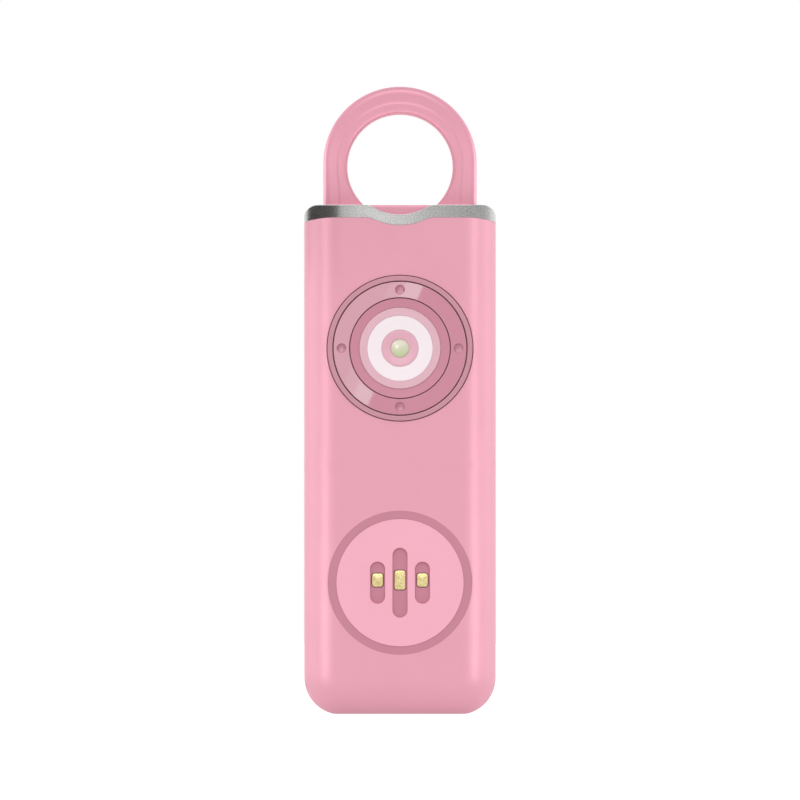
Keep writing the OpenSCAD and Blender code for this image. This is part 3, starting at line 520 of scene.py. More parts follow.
def rounded_oblong(half_x, half_y, corner, inset=0.0, count=12):
    """Closed outline of a rectangle with quarter-circle corners, moved in by inset."""
    turn = np.linspace(0, np.pi / 2, count)
    angle = np.concatenate([turn + quarter * np.pi / 2 for quarter in range(4)])
    sign = np.repeat([(1, 1), (-1, 1), (-1, -1), (1, -1)], count, axis=0)
    reach = np.stack((np.cos(angle), np.sin(angle)), -1) * (corner - inset)
    loop = sign * (half_x - corner, half_y - corner) + reach
    return np.concatenate((loop, loop[:1]))


def plug_skin():
    """Rows from the middle of the plug's top, out over a rounded edge, down, in over a rounded foot, and up the hole
    that holds the trigger pin."""
    half_x, half_y = ring_high.x, ring_high.y
    bend = np.linspace(0, np.pi / 2, 6)
    low = plug_low.z
    rows = [(plug_edge_r * near_hold, plug_top)]
    rows += [(plug_edge_r * (1 - np.sin(a)), plug_top - plug_edge_r * (1 - np.cos(a))) for a in bend]
    rows += [(plug_foot_r * (1 - np.cos(a)), low + plug_foot_r * (1 - np.sin(a))) for a in bend]
    rows += [(plug_foot_r * near_hold, low)]
    outline = rounded_oblong(half_x, half_y, plug_r)
    loops = [np.column_stack((rounded_oblong(half_x, half_y, plug_r, inset), np.full(len(outline), z)))
             for inset, z in rows]
    angle = np.arctan2(outline[:, 1], outline[:, 0])
    pin_hole = np.stack((np.cos(angle), np.sin(angle)), -1) * (pin_high.x + plug_lip)
    loops += [np.column_stack((pin_hole, np.full(len(angle), z))) for z in (low, pin_high.z)]
    ends = [loops[0] * (0, 0, 1), loops[-1] * (0, 0, 1)]
    return np.stack(ends[:1] + loops + ends[1:])


ring_pink = moulded_plastic("ring_pink", linear(223, 154, 172), **casing_satin)
bow = ring_skin()
feet = [(bow[end, :-1], np.array(tessellate_polygon([bow[end, :-1, :2].tolist()]))) for end in (0, -1)]
make_piece("finger_ring", [bow, plug_skin()], feet, "ring", "pull_ring", ring_pink)


# Trigger pin: a turned steel pin pressed into the plug, with a round nose that parts the two contact leaves.
# A shallow groove is turned in it a little below the plug.

pin_r = pin_high.x
nose_r, pin_groove, pin_groove_w = 0.9e-3, 0.12e-3, 0.5e-3
pin_top_r, hidden_r = 0.1e-3, 0.05e-3


def rounded(corners, radii, count=5):
    """Closed profile through these corners, each rounded by an arc of its own radius that touches both its sides.
    One more point a quarter of the radius beyond each end of an arc keeps the flats flat."""
    here = np.array(corners, float)
    radius = np.array(radii, float)[:, None]
    back, on = np.roll(here, 1, 0) - here, np.roll(here, -1, 0) - here
    back, on = (way / np.linalg.norm(way, axis=1, keepdims=True) for way in (back, on))
    half = np.arccos(np.clip((back * on).sum(1, keepdims=True), -1, 1)) / 2
    first, last = (here + way * radius / np.tan(half) for way in (back, on))
    middle = here + (back + on) / np.linalg.norm(back + on, axis=1, keepdims=True) * radius / np.sin(half)
    start = np.arctan2(*(first - middle).T[::-1])
    sweep = np.arctan2(*(last - middle).T[::-1]) - start
    sweep = (sweep + np.pi) % (2 * np.pi) - np.pi
    angle = start[:, None] + sweep[:, None] * np.linspace(0, 1, count)
    arcs = middle[:, None] + radius[:, None] * np.stack((np.cos(angle), np.sin(angle)), -1)
    first, last = first + back * radius / 4, last + on * radius / 4
    return np.concatenate((first[:, None], arcs, last[:, None]), 1).reshape(-1, 2)


def turned_upright(profile, count=48):
    """Profile of radius and height turned round the Z axis."""
    angle = np.linspace(0, 2 * np.pi, count + 1)
    radius, z = profile[:, 0, None], profile[:, 1, None]
    return np.stack(np.broadcast_arrays(radius * np.cos(angle), radius * np.sin(angle), z), -1)


neck_z = plug_low.z - 2 * pin_groove_w
pin_profile = rounded([(0, pin_low.z), (pin_r, pin_low.z), (pin_r, neck_z - pin_groove_w),
                       (pin_r - pin_groove, neck_z - pin_groove_w), (pin_r - pin_groove, neck_z), (pin_r, neck_z),
                       (pin_r, pin_high.z), (0, pin_high.z)], [0, nose_r, hidden_r, 0, 0, hidden_r, pin_top_r, 0])
bright_steel = grained_metal("bright_steel", linear(186, 188, 190), linear(214, 215, 216), roughness=0.24,
                             grain=0.4e-3, relief=0.6e-6)
make_piece("parting_pin", [turned_upright(pin_profile)], [], "ring", "trigger_pin", bright_steel)


# Bezel: a narrow moulded pink ring with rounded edges, standing a little proud of the casing round the lamp unit.
# It is pressed into the upper seat, and a fine gap is left round it.

bezel_gap, bezel_edge_r = 0.12e-3, 0.1e-3
fine_turn = 192
bezel_r, bezel_bore = lamp_seat_r - bezel_gap, 10.54e-3
bezel_top, bezel_foot = bezel_low.y, bezel_high.y


def turned(profile, z0=lamp_z, count=128):
    """Profile of radius and depth turned round the line through z0 that runs front to back, as a closed ring."""
    angle = np.linspace(0, 2 * np.pi, count + 1)
    radius, y = profile[:, 0, None], profile[:, 1, None]
    return np.stack(np.broadcast_arrays(radius * np.cos(angle), y, z0 + radius * np.sin(angle)), -1)


def closed(profile):
    """Profile with its first point repeated at its end."""
    return np.concatenate((profile, profile[:1]))


bezel_profile = closed(rounded(
    [(bezel_bore, bezel_top), (bezel_r, bezel_top), (bezel_r, bezel_foot), (bezel_bore, bezel_foot)],
    [bezel_edge_r, bezel_edge_r, hidden_r, hidden_r]))
bezel_pink = moulded_plastic("bezel_pink", linear(189, 133, 146), roughness=0.34, relief=1.2e-6, mottle=0.015)
make_piece("lamp_bezel", [turned(bezel_profile, count=fine_turn)], [], "casing", "bezel_ring",
           bezel_pink)


# Retaining ring: a glossy pink ring that screws in behind the bezel and keeps the button in. Four blind round holes
# in its polished face take the pins of a spanner.

keeper_low, keeper_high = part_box("retainer_ring")
keeper_r, keeper_bore = keeper_high.x, 7.93e-3
keeper_top, keeper_foot, keeper_back = keeper_low.y, seat_floor, keeper_high.y
spigot_r, spigot_bore = 9.38e-3, 8.75e-3
keeper_edge = 0.05e-3
dimple_r, dimple_wall, dimple_depth, dimple_edge = 0.74e-3, 0.38e-3, 0.52e-3, 0.03e-3
dimple_pitch = 9.14e-3

arc_points = 5
keeper_profile = rounded([(keeper_bore, keeper_top), (keeper_r, keeper_top), (keeper_r, keeper_foot),
                          (spigot_r, keeper_foot), (spigot_r, keeper_back), (spigot_bore, keeper_back),
                          (spigot_bore, keeper_foot), (keeper_bore, keeper_foot)],
                         [keeper_edge, keeper_edge, hidden_r, 0, hidden_r, hidden_r, 0, hidden_r], arc_points)
keeper_profile = np.roll(keeper_profile, -(arc_points + 2), 0)
dimple_places = [(dimple_pitch * np.cos(a), lamp_z + dimple_pitch * np.sin(a)) for a in np.arange(4) * np.pi / 2]
dimple_bend, bowl_bend = np.linspace(0, np.pi / 2, 5), np.linspace(0, np.pi / 2, 9)
dimple_profile = np.concatenate((
    [(dimple_r + far_hold * dimple_edge, 0)],
    np.stack((dimple_r + dimple_edge * (1 - np.sin(dimple_bend)), dimple_edge * (1 - np.cos(dimple_bend))), -1),
    np.stack((dimple_r * np.cos(bowl_bend), dimple_wall + (dimple_depth - dimple_wall) * np.sin(bowl_bend)), -1)))
dimple_profile += (0, keeper_top)
dimple_steps = 10
keeper_grids = [turned(keeper_profile, count=fine_turn)]
keeper_grids += [bore(x, z, dimple_profile, dimple_steps) for x, z in dimple_places]
face_loops = [circle(0, lamp_z, radius, fine_turn) for radius in keeper_profile[[0, -1], 0]]
face_loops += [circle(x, z, dimple_profile[0, 0], 4 * dimple_steps) for x, z in dimple_places]
keeper_face = flat_plate(face_loops, keeper_top)
gloss_pink = moulded_plastic("gloss_pink", linear(195, 131, 149), roughness=0.02, grain=0.5e-3, relief=0.02e-6)
make_piece("retaining_ring", keeper_grids, [keeper_face], "casing", "retainer_ring", gloss_pink)


# Push button: a pink dish whose sloping edge leads in to the lamp. A flange behind the retaining ring keeps it in,
# and two posts on its back press the switches. It moves half a millimetre against their springs.

button_low, button_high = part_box("light_button")
button_r, flange_r = 7.80e-3, button_high.x
dish_r, dish_depth, dish_seat, dish_back, dish_bore = 6.36e-3, 0.14e-3, 1.3e-3, 2.42e-3, 2.9e-3
dish_edge_r, dish_foot_r, flange_top = 0.06e-3, 0.03e-3, 1.52e-3
post_r, post_tip_r, post_x, post_tip_h, post_sink, post_steps = 0.75e-3, 0.675e-3, 5.2e-3, 0.1e-3, 0.3e-3, 8
button_face = button_low.y
seat_y, back_y, flange_y = button_face + dish_seat, button_face + dish_back, button_face + flange_top
dish_profile = closed(rounded(
    [(button_r, button_face), (dish_r, button_face + dish_depth), (dish_r, seat_y), (dish_bore, seat_y),
     (dish_bore, back_y), (flange_r, back_y), (flange_r, flange_y), (button_r, flange_y)],
    [dish_edge_r, dish_foot_r, 0, hidden_r, hidden_r, hidden_r, hidden_r, 0]))
post_profile = [(0, button_high.y), (post_tip_r, button_high.y), (post_r, button_high.y - post_tip_h),
                (post_r, seat_y + post_sink), (0, seat_y + post_sink)]
dish_grids = [turned(dish_profile)] + [bore(x, lamp_z, post_profile, post_steps) for x in (-post_x, post_x)]
button_pink = moulded_plastic("button_pink", linear(193, 129, 147), roughness=0.34, relief=1.2e-6, mottle=0.015,
                              shine=0.3)
make_piece("button_dish", dish_grids, [], "button", "light_button", button_pink)


# Button rim: a pale pink moulded ring with softly rounded edges. It is pressed into the dish inside its sloping edge,
# and the reflector sits in it.

rim_in, rim_out, rim_in_round, rim_out_round, rim_arc_points = 5.12e-3, 6.34e-3, 0.06e-3, 0.12e-3, 9
rim_profile = closed(rounded([(rim_in, button_face), (rim_out, button_face), (rim_out, seat_y), (rim_in, seat_y)],
                             [rim_in_round, rim_out_round, hidden_r, hidden_r], rim_arc_points))
pale_pink = moulded_plastic("pale_pink", linear(213, 169, 181), roughness=0.36, relief=1.0e-6)
make_piece("dish_rim", [turned(rim_profile)], [], "button", "button_rim", pale_pink)


# Reflector: a white moulded ring, slightly dished towards the lamp, that throws its light forwards. It is pressed in
# between the rim and the hub.

white_in, white_out, white_in_drop, white_out_drop = 2.88e-3, 5.11e-3, 0.14e-3, 0.06e-3
white_in_round, white_out_round = 0.06e-3, 0.03e-3
reflector_profile = closed(rounded(
    [(white_in, button_face + white_in_drop), (white_out, button_face + white_out_drop), (white_out, seat_y),
     (white_in, seat_y)], [white_in_round, white_out_round, hidden_r, hidden_r]))
reflector_white = moulded_plastic("reflector_white", linear(235, 223, 227), roughness=0.30, grain=0.2e-3,
                                  relief=0.6e-6, mottle=0.004)
make_piece("reflector", [turned(reflector_profile)], [], "button", "reflector_ring",
           reflector_white)


# Hub: a short pink moulded sleeve in the middle of the button, with a sloping mouth for the lamp. It is pressed
# through the dish.

hub_bore, hub_mouth_r, hub_r = 1.48e-3, 2.5e-3, 2.86e-3
hub_bore_y, hub_face_y = button_face + 0.28e-3, button_face + 0.12e-3
hub_bore_round, hub_mouth_round, hub_round, hub_steps = 0.03e-3, 0.3e-3, 0.04e-3, 96
hub_profile = closed(rounded(
    [(hub_bore, hub_bore_y), (hub_mouth_r, hub_face_y), (hub_r, hub_face_y), (hub_r, back_y), (hub_bore, back_y)],
    [hub_bore_round, hub_mouth_round, hub_round, hidden_r, hidden_r]))
hub_pink = moulded_plastic("hub_pink", linear(217, 164, 179), roughness=0.34, relief=1.0e-6)
make_piece("hub_sleeve", [turned(hub_profile, count=hub_steps)], [], "button", "button_hub", hub_pink)


# Lamp: a 3 mm light-emitting diode cast in cloudy creamy epoxy, a low dome on a straight body with a flanged foot.
# Its colour is a greenish tint at the bottom, the epoxy's own, and it grows lighter towards the top as a painted
# highlight.
# It stands on the circuit board and looks out through the hub.

lamp_low, lamp_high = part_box("lamp")
lamp_r, dome_h, lamp_foot_r, lamp_foot_y = 1.47e-3, 0.28e-3, lamp_high.x, lamp_high.y - 0.8e-3
lamp_steps, cloud_size, haze_low, haze_high, epoxy_ior = 64, 0.4e-3, 0.20, 0.26, 1.54
dome_out = np.linspace(0, 1, 16)
lamp_profile = np.concatenate((
    np.stack((lamp_r * dome_out, lamp_low.y + dome_h * dome_out ** 2), -1),
    [(lamp_r, lamp_foot_y), (lamp_foot_r, lamp_foot_y), (lamp_foot_r, lamp_high.y), (0, lamp_high.y)]))
lamp_epoxy = bpy.data.materials.new("lamp_epoxy")
lamp_epoxy.use_nodes = True
tree = lamp_epoxy.node_tree
shader = tree.nodes["Principled BSDF"]
place = add_node(tree, "TexCoord").outputs["Object"]
height = add_node(tree, "SeparateXYZ", {"Vector": place}).outputs["Z"]
rise = add_node(tree, "MapRange", {"Value": height, "From Min": lamp_z - lamp_r, "From Max": lamp_z + lamp_r})
# Painted highlight: the base colour runs from the epoxy's own greenish tint low down to a lighter tone at the top.
epoxy_tint_and_painted_highlight = two_tones(tree, rise.outputs["Result"], linear(197, 206, 163), linear(226, 220, 199), low=0.2, high=0.75)
tree.links.new(epoxy_tint_and_painted_highlight, shader.inputs["Base Color"])
cloud = add_node(tree, "TexNoise", {"Vector": place, "Scale": 1 / cloud_size, "Detail": 2.0}).outputs["Fac"]
haze = add_node(tree, "MapRange", {"Value": cloud, "To Min": haze_low, "To Max": haze_high})
tree.links.new(haze.outputs["Result"], shader.inputs["Roughness"])
shader.inputs["IOR"].default_value = epoxy_ior
make_piece("lamp_dome", [turned(lamp_profile, count=lamp_steps)], [], "casing", "lamp", lamp_epoxy)


# Charging pad: a dark pink base pressed into the lower seat, and a lighter cover disc glued on it. Three slots with
# round ends in the cover leave the contacts open. An island of the base stands in each slot, with a narrow moat round
# the contact. The well that guides the plug is moulded in the base's dark pink.

cover_low, cover_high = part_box("pad_cover")
cover_r, cover_top, cover_foot, cover_edge = 9.94e-3, cover_low.y, cover_high.y, 0.05e-3
slot_half_w, slot_pitch, long_half, short_half = 2.33e-3 / 2, 3.5e-3, 10.9e-3 / 2, 6.57e-3 / 2
slot_places = ((0.0, long_half), (-slot_pitch, short_half), (slot_pitch, short_half))


def slot_loop(x0, half_length, out, count=16):
    """Closed outline of an upright slot with round ends, moved out by out."""
    turn = np.linspace(0, np.pi, count)
    angle = np.concatenate((turn, turn + np.pi))
    radius = slot_half_w + out
    shift = np.repeat([1, -1], count) * (half_length - slot_half_w)
    loop = np.stack((x0 + radius * np.cos(angle), pad_z + shift + radius * np.sin(angle)), -1)
    return closed(loop)


cover_bend = np.linspace(0, np.pi / 2, 5)
edge_steps = [(-far_hold * cover_edge, 0)]
edge_steps += [(-cover_edge * (1 - np.sin(a)), cover_edge * (1 - np.cos(a))) for a in cover_bend]
edge_steps += [(0, cover_foot - cover_top)]
cover_steps = 32
cover_grids = [bore(0, pad_z, [(cover_r + out, cover_top + depth) for out, depth in edge_steps], cover_steps)]
for x0, half_length in slot_places:
    loops = [np.insert(slot_loop(x0, half_length, -out), 1, cover_top + depth, axis=1) for out, depth in edge_steps]
    cover_grids.append(np.stack(loops))
cover_plates = [flat_plate([circle(0, pad_z, cover_r + out, 4 * cover_steps)]
                           + [slot_loop(x0, half, -out)[:-1] for x0, half in slot_places], cover_top + depth)
                for out, depth in (edge_steps[0], edge_steps[-1])]
pad_pink = moulded_plastic("pad_pink", linear(241, 172, 191), roughness=0.38, relief=1.4e-6)
make_piece("pad_disc", cover_grids, cover_plates, "casing", "pad_cover", pad_pink)

base_sink, island_sink, island_gap = 0.01e-3, 0.42e-3, 0.01e-3
base_top, base_floor, base_back, island_top = -half_d + base_sink, cover_foot, pad_high.y, -half_d + island_sink
base_r, base_step_r, base_spigot_r = pad_high.x, 9.95e-3, 9.12e-3
base_step_round, base_round = 0.03e-3, 0.02e-3
contact_corner, moat_w = 0.45e-3, 0.10e-3
base_profile = rounded(
    [(0, base_floor), (base_step_r, base_floor), (base_step_r, base_top), (base_r, base_top), (base_r, seat_floor),
     (base_spigot_r, seat_floor), (base_spigot_r, base_back), (0, base_back)],
    [0, 0, base_step_round, base_round, hidden_r, 0, hidden_r, 0])
base_grids, base_plates = [turned(base_profile, pad_z, fine_turn)], []
for name, place in zip(("contact_centre", "contact_left", "contact_right"), slot_places):
    low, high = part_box(name)
    moat = rounded_oblong((high.x - low.x) / 2 + moat_w, (high.z - low.z) / 2 + moat_w, contact_corner + moat_w)
    loops = slot_loop(*place, -island_gap), moat + ((low.x + high.x) / 2, (low.z + high.z) / 2)
    base_grids += [np.stack([np.insert(loop, 1, y, axis=1) for y in (island_top, base_floor)]) for loop in loops]
    base_plates += [flat_plate([loop[:-1] for loop in loops], y) for y in (island_top, base_floor)]
inner_pink = moulded_plastic("inner_pink", linear(196, 128, 147), roughness=0.40, relief=1.4e-6, mottle=0.015)


def dress(finish, *names):
    """Gives a finish to CAD nodes that keep their own shape."""
    for name in names:
        for holder in frame["nodes"][name].material_slots:
            holder.material = finish


make_piece("pad_cup", base_grids, base_plates, "casing", "pad_base", inner_pink)
dress(inner_pink, "plug_well")


# Charging contacts: three gold-plated tabs with softly rounded faces, on stems that run through the pad to the board.
# Their rounded edges and sides are coloured dark brown as painted shade.

contact_edge, contact_crown, crown_steps, tab_foot = 0.09e-3, 0.06e-3, (0, 0.3, 0.6, 0.85), cover_foot
stem_r, stem_sink, stem_steps = 0.5e-3, 0.1e-3, 6
edge_shade_run = 0.25


def contact_skin(low, high):
    """Rows from the middle of the crowned face, out over a rounded edge, down to the foot of the tab and in."""
    mid_x, mid_z = (low.x + high.x) / 2, (low.z + high.z) / 2
    half_x, half_z = (high.x - low.x) / 2, (high.z - low.z) / 2
    bend = np.linspace(0, np.pi / 2, 5)
    rows = [(contact_edge * (1 - np.sin(a)), contact_crown + contact_edge * (1 - np.cos(a))) for a in bend]
    rows += [(0, tab_foot - low.y)]
    flat = rounded_oblong(half_x, half_z, contact_corner, contact_edge)
    loops = [(flat * share, contact_crown * share ** 2) for share in crown_steps]
    loops += [(rounded_oblong(half_x, half_z, contact_corner, inset), depth) for inset, depth in rows]
    loops += [(flat * 0, tab_foot - low.y)]
    return np.stack([np.column_stack((mid_x + loop[:, 0], np.full(len(loop), low.y + depth), mid_z + loop[:, 1]))
                     for loop, depth in loops])


contact_gold = grained_metal("contact_gold", linear(213, 187, 113), linear(247, 236, 185), roughness=0.34,
                             grain=0.22e-3, relief=3.0e-6)
tree = contact_gold.node_tree
shader = tree.nodes["Principled BSDF"]
# Painted shade: below the crowned face, over the rounded edge and down the sides, the gold turns dark brown.
painted_shade_share = add_node(tree, "Attribute", attribute_name="edge_share").outputs["Fac"]
plated = shader.inputs["Base Color"].links[0].from_socket
# A colour mix takes its two colours at inputs 6 and 7 and gives the mixed one at output 2.
painted_edge_shade = add_node(tree, "Mix", data_type="RGBA")
for socket, value in ((painted_edge_shade.inputs["Factor"], painted_shade_share), (painted_edge_shade.inputs[6], plated)):
    tree.links.new(value, socket)
painted_edge_shade.inputs[7].default_value = (*linear(150, 105, 85), 1)
tree.links.new(painted_edge_shade.outputs[2], shader.inputs["Base Color"])
for name in ("contact_left", "contact_centre", "contact_right"):
    low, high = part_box(name)
    middle = ((low.x + high.x) / 2, (low.z + high.z) / 2)
    stem = [(0, tab_foot - stem_sink), (stem_r, tab_foot - stem_sink), (stem_r, high.y), (0, high.y)]
    tab = make_piece(name + "_tab", [contact_skin(low, high), bore(*middle, stem, stem_steps)], [], "casing", name,
                     contact_gold)
    # The share of painted shade grows with depth below the crowned face.
    corners = np.empty(3 * len(tab.data.vertices))
    tab.data.vertices.foreach_get("co", corners)
    depth = corners.reshape(-1, 3)[:, 1] - low.y - contact_crown
    share = tab.data.attributes.new("edge_share", "FLOAT", "POINT")
    share.data.foreach_set("value", np.clip(depth / (contact_edge * edge_shade_run), 0, 1))


# Works: what the casing holds. The board carries the lamp, switches, chip and coil, the siren plate faces the holes
# in the rear shell, the battery is taped to it, and the socket holds two leaves for the trigger pin.

dress(bright_steel, "case_screws", "lamp_legs")
for name, dark, light, roughness, grain, relief, nodes in (
        ("magnet_nickel", (170, 170, 168), (196, 195, 190), 0.22, 0.5e-3, 0.5e-6, ("dock_magnets",)),
        ("spring_brass", (176, 146, 84), (206, 176, 112), 0.30, 0.4e-3, 0.8e-6, ("socket_contacts", "siren_plate")),
        ("copper_wire", (160, 88, 48), (206, 124, 76), 0.32, 0.15e-3, 12e-6, ("coil_winding",)),
        ("battery_foil", (178, 180, 184), (206, 208, 212), 0.30, 1.2e-3, 20e-6, ("battery",))):
    dress(grained_metal(name, linear(*dark), linear(*light), roughness, grain, relief), *nodes)
for name, tone, roughness, grain, relief, mottle, nodes in (
        ("ferrite", (58, 56, 55), 0.55, 0.2e-3, 6e-6, 0.1, ("coil_core",)),
        ("chip_ceramic", (206, 196, 176), 0.45, 0.2e-3, 2e-6, 0.05, ("chip_parts", "siren_ceramic")),
        ("board_green", (30, 92, 58), 0.28, 0.3e-3, 3e-6, 0.12, ("main_board", "battery_guard")),
        ("black_plastic", (36, 36, 38), 0.42, 0.15e-3, 3e-6, 0.06, ("pin_socket", "button_switches", "control_chip")),
        ("cream_plastic", (232, 224, 204), 0.40, 0.15e-3, 2e-6, 0.03, ("switch_plungers",)),
        ("foam_tape", (226, 224, 216), 0.85, 0.1e-3, 20e-6, 0.06, ("battery_tape",)),
        ("lead_red", (176, 36, 34), 0.36, 0.3e-3, 3e-6, 0.05, ("battery_lead_red", "siren_lead_red")),
        ("lead_black", (30, 30, 31), 0.36, 0.3e-3, 3e-6, 0.05, ("battery_lead_black", "siren_lead_black"))):
    dress(moulded_plastic(name, linear(*tone), roughness, relief, grain, mottle), *nodes)


# Studio: a plain white floor and surround, and a long lens that looks straight at the front. Soft lights stand at both
# sides and above, strips draw the lines down the casing's edges, and each group of pieces has a fill of its own. Small
# lights stand by the ring and the collar, a card shows in the glossy ring, and a flag darkens the collar's left end.

photo_px, photo_px_per_m, photo_base_px = 800, 6393.0, 714
view_y, lens, sensor = -5.0e-3, 500.0, 36.0
clip_near, clip_far = 0.01, 50

camera_data = bpy.data.cameras.new("camera")
camera_data.lens, camera_data.sensor_width = lens, sensor
camera_data.clip_start, camera_data.clip_end = clip_near, clip_far
camera = bpy.data.objects.new("camera", camera_data)
camera_back = photo_px / photo_px_per_m * lens / sensor
camera_z = (photo_base_px - photo_px / 2) / photo_px_per_m
camera.location = (0, view_y - camera_back, camera_z)
camera.rotation_euler = (np.pi / 2, 0, 0)
bpy.context.collection.objects.link(camera)
bpy.context.scene.camera = camera
bpy.context.scene.view_settings.view_transform = "Standard"

surround_front, surround_back, surround_turn = 0.45, 1.2, 0.7
world = bpy.data.worlds.new("white_surround")
world.use_nodes = True
tree = world.node_tree
seen = add_node(tree, "LightPath").outputs["Is Camera Ray"]
way = add_node(tree, "TexCoord").outputs["Generated"]
behind = add_node(tree, "SeparateXYZ", {"Vector": way}).outputs["Y"]
wash = add_node(tree, "MapRange", {"Value": behind, "From Min": 0.0, "From Max": surround_turn,
                                   "To Min": surround_front, "To Max": surround_back})
level = add_node(tree, "MapRange", {"Value": seen, "To Min": wash.outputs["Result"], "To Max": 1.0})
tree.links.new(level.outputs["Result"], tree.nodes["Background"].inputs["Strength"])
tree.nodes["Background"].inputs["Color"].default_value = (1, 1, 1, 1)
bpy.context.scene.world = world

floor_r, floor_steps, floor_grey, floor_rough, floor_glow = 0.5, 96, 0.3, 0.9, 0.61
floor_mesh = bpy.data.meshes.new("floor")
floor_rim = np.insert(circle(0, 0, floor_r, floor_steps), 2, 0, axis=1)
floor_mesh.from_pydata(floor_rim.tolist(), [], [list(range(floor_steps))])
floor = bpy.data.objects.new("floor", floor_mesh)
floor_white = bpy.data.materials.new("floor_white")
floor_white.use_nodes = True
tree = floor_white.node_tree
shader = tree.nodes["Principled BSDF"]
shader.inputs["Base Color"].default_value = (floor_grey, floor_grey, floor_grey, 1)
shader.inputs["Roughness"].default_value = floor_rough
shader.inputs["Emission Color"].default_value = (1, 1, 1, 1)
seen = add_node(tree, "LightPath").outputs["Is Camera Ray"]
glow = add_node(tree, "MapRange", {"Value": seen, "To Min": floor_glow, "To Max": 1.0})
tree.links.new(glow.outputs["Result"], shader.inputs["Emission Strength"])
floor_mesh.materials.append(floor_white)
bpy.context.collection.objects.link(floor)


def soft_light(name, place, target, width, height, brightness, state, pieces):
    """Oblong soft light at place, turned to face target and unseen by the camera. Its power is its brightness times
    pi times its area. It falls on these pieces alone if they are included, or else on all but them."""
    light = bpy.data.lights.new(name, "AREA")
    light.shape, light.size, light.size_y = "RECTANGLE", width, height
    light.energy = brightness * np.pi * width * height
    lamp = bpy.data.objects.new(name, light)
    lamp.location = place
    aim = np.array(target) - np.array(place)
    lamp.rotation_euler = (np.arctan2(np.hypot(aim[0], aim[1]), -aim[2]), 0, np.arctan2(-aim[0], aim[1]))
    lamp.visible_camera = False
    bpy.context.collection.objects.link(lamp)
    lit = bpy.data.collections.new(name + "_pieces")
    for number, piece in enumerate(pieces):
        lit.objects.link(bpy.data.objects[piece])
        lit.collection_objects[number].light_linking.link_state = state
    lamp.light_linking.receiver_collection = lit
    return lamp


aim_at = (0, 0, camera_z)
shells, dome, ring, band = ("casing_front", "casing_rear"), ("lamp_dome",), ("finger_ring",), ("collar",)
lamp_unit = ("lamp_bezel", "retaining_ring", "button_dish", "dish_rim", "reflector", "hub_sleeve")
pad_unit = ("pad_disc", "pad_cup", "contact_left_tab", "contact_centre_tab", "contact_right_tab")

# Lights that stand at both sides, at an angle round from the front in degrees. Those on the left are sampled as lights
# alone, so that the flag, which only reflections see, doesn't hide them.
for side, mark in ((-1, "left"), (1, "right")):
    for kind, angle, back, rise, width, height, brightness, state, pieces in (
            ("side", 93, 0.7, 0.08, 0.5, 0.35, 1.7, "EXCLUDE", band + ring),
            ("strip", 50, 0.7, 0.08, 0.16, 0.3, 6.4, "INCLUDE", shells),
            ("low_strip", 54, 0.12, 0.012, 0.03, 0.024, 6.2, "INCLUDE", shells),
            ("ring_side", 102, 0.7, 0.08, 0.3, 0.3, 7.3, "INCLUDE", ring)):
        turn = side * np.radians(angle)
        place = (back * np.sin(turn), -back * np.cos(turn), rise)
        light = soft_light(mark + "_" + kind, place, aim_at, width, height, brightness, state, pieces)
        light.data.cycles.use_multiple_importance_sampling = side > 0

for name, place, target, width, height, brightness, state, pieces in (
        ("top_light", (0, -0.1, 0.9), aim_at, 0.8, 0.8, 1.7, "EXCLUDE", ring),
        ("ring_under", (0, -8e-3, 87e-3), (0, -3e-3, 95e-3), 8e-3, 3e-3, 2.1, "INCLUDE", ring),
        ("ring_front", (0, -18e-3, 82e-3), (0, 0, 82e-3), 24e-3, 4e-3, 0.7, "INCLUDE", ring),
        ("left_leg_front", (-13e-3, -18e-3, 86e-3), (-10.5e-3, 0, 86e-3), 6e-3, 10e-3, 1.3, "INCLUDE", ring),
        ("right_leg_front", (13e-3, -18e-3, 86e-3), (10.5e-3, 0, 86e-3), 6e-3, 10e-3, 1.1, "INCLUDE", ring),
        ("casing_fill", (0, -0.90, 0.55), aim_at, 0.8, 0.8, 0.63, "INCLUDE", shells + dome),
        ("unit_fill", (0, -0.92, 0.55), aim_at, 0.8, 0.8, 2.15, "INCLUDE", lamp_unit + pad_unit),
        ("ring_fill", (0, -0.75, 0.85), aim_at, 0.8, 0.8, 3.0, "INCLUDE", ring),
        ("key_light", (-0.45, -0.75, 0.5), aim_at, 0.25, 0.25, 5.5, "INCLUDE", dome + lamp_unit),
        ("glint", (-0.12, -0.5, lamp_z + 0.07), (0, 0, lamp_z), 0.06, 0.07, 24.0, "INCLUDE", dome),
        ("collar_light", (-2.8e-3, -half_d - 25e-3, 79e-3), (-2.8e-3, 0, 78.5e-3), 10e-3, 6e-3, 1.42, "INCLUDE", band)):
    soft_light(name, place, target, width, height, brightness, state, pieces)

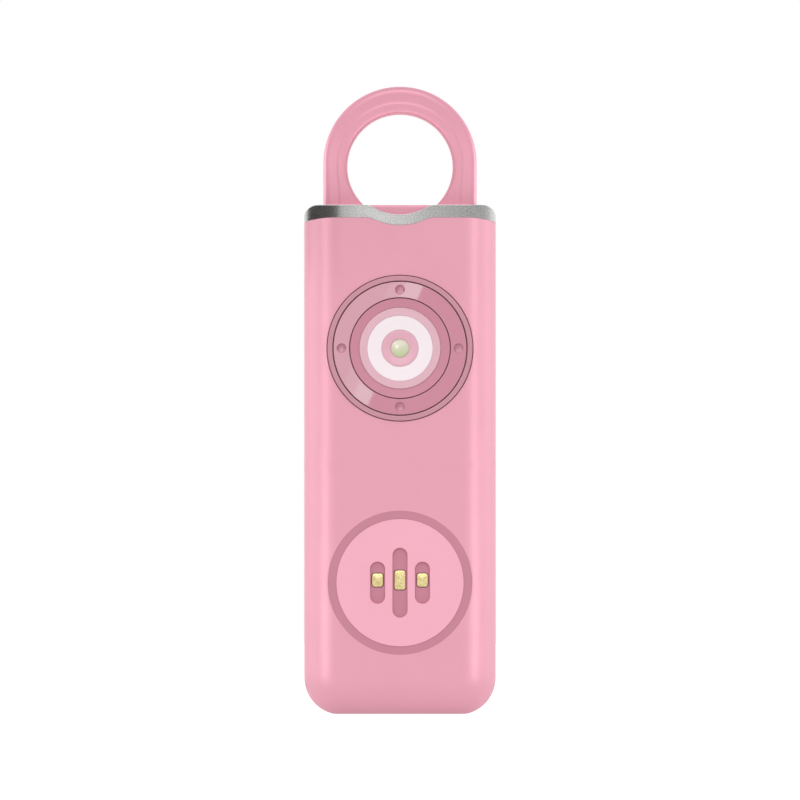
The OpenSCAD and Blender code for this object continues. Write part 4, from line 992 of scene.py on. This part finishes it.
flag_r, flag_low, flag_high, flag_tone = 20e-3, 70e-3, 85e-3, 0.02
flag_from, flag_to, flag_steps = 8, 115, 24
flag_turn = np.radians(np.linspace(flag_from, flag_to, flag_steps))[:, None]
flag_grid = np.stack(np.broadcast_arrays(-flat_x - flag_r * np.sin(flag_turn), -flat_y - flag_r * np.cos(flag_turn),
                                         np.array((flag_low, flag_high))), -1)
flag_index = np.arange(2 * flag_steps).reshape(flag_steps, 2)
flag_faces = np.stack((flag_index[:-1, 0], flag_index[1:, 0], flag_index[1:, 1], flag_index[:-1, 1]), -1)
flag_mesh = bpy.data.meshes.new("flag")
flag_mesh.from_pydata(flag_grid.reshape(-1, 3).tolist(), [], flag_faces.tolist())
flag = bpy.data.objects.new("flag", flag_mesh)
flag_black = bpy.data.materials.new("flag_black")
flag_black.use_nodes = True
shader = flag_black.node_tree.nodes["Principled BSDF"]
shader.inputs["Base Color"].default_value = (flag_tone, flag_tone, flag_tone, 1)
flag_mesh.materials.append(flag_black)
flag.visible_camera = flag.visible_diffuse = flag.visible_shadow = flag.visible_transmission = False
bpy.context.collection.objects.link(flag)

# The card's edge is laid so that the camera sees it in the ring's face along card_line, a line across that face.
card_back, card_h, card_gap, card_tint = 0.14, 0.04, 1e-3, (0.6, 1.0, 0.9)
card_line = np.array(((3.6e-3, 66.8e-3), (-4.15e-3, 50.2e-3)))
card_line += (card_line - (0, camera_z)) * card_back / (-keeper_top - camera.location.y)
card_way = (card_line[0] - card_line[1]) / np.linalg.norm(card_line[0] - card_line[1])
for layer, (name, width, brightness) in enumerate((("card", 0.03, 2.3), ("card_border", 5.2e-3, 0.8),
                                                   ("card_edge", 2.9e-3, 2.0))):
    card_x, card_z = card_line.mean(0) + np.array((-card_way[1], card_way[0])) * width / 2
    card_y = keeper_top - card_back + layer * card_gap
    card = soft_light(name, (card_x, card_y, card_z), (card_x, 0, card_z), width, card_h, brightness, "INCLUDE",
                      ("retaining_ring",))
    card.data.color = card_tint
    card.rotation_euler = (np.pi / 2, np.arctan2(card_way[0], card_way[1]), 0)
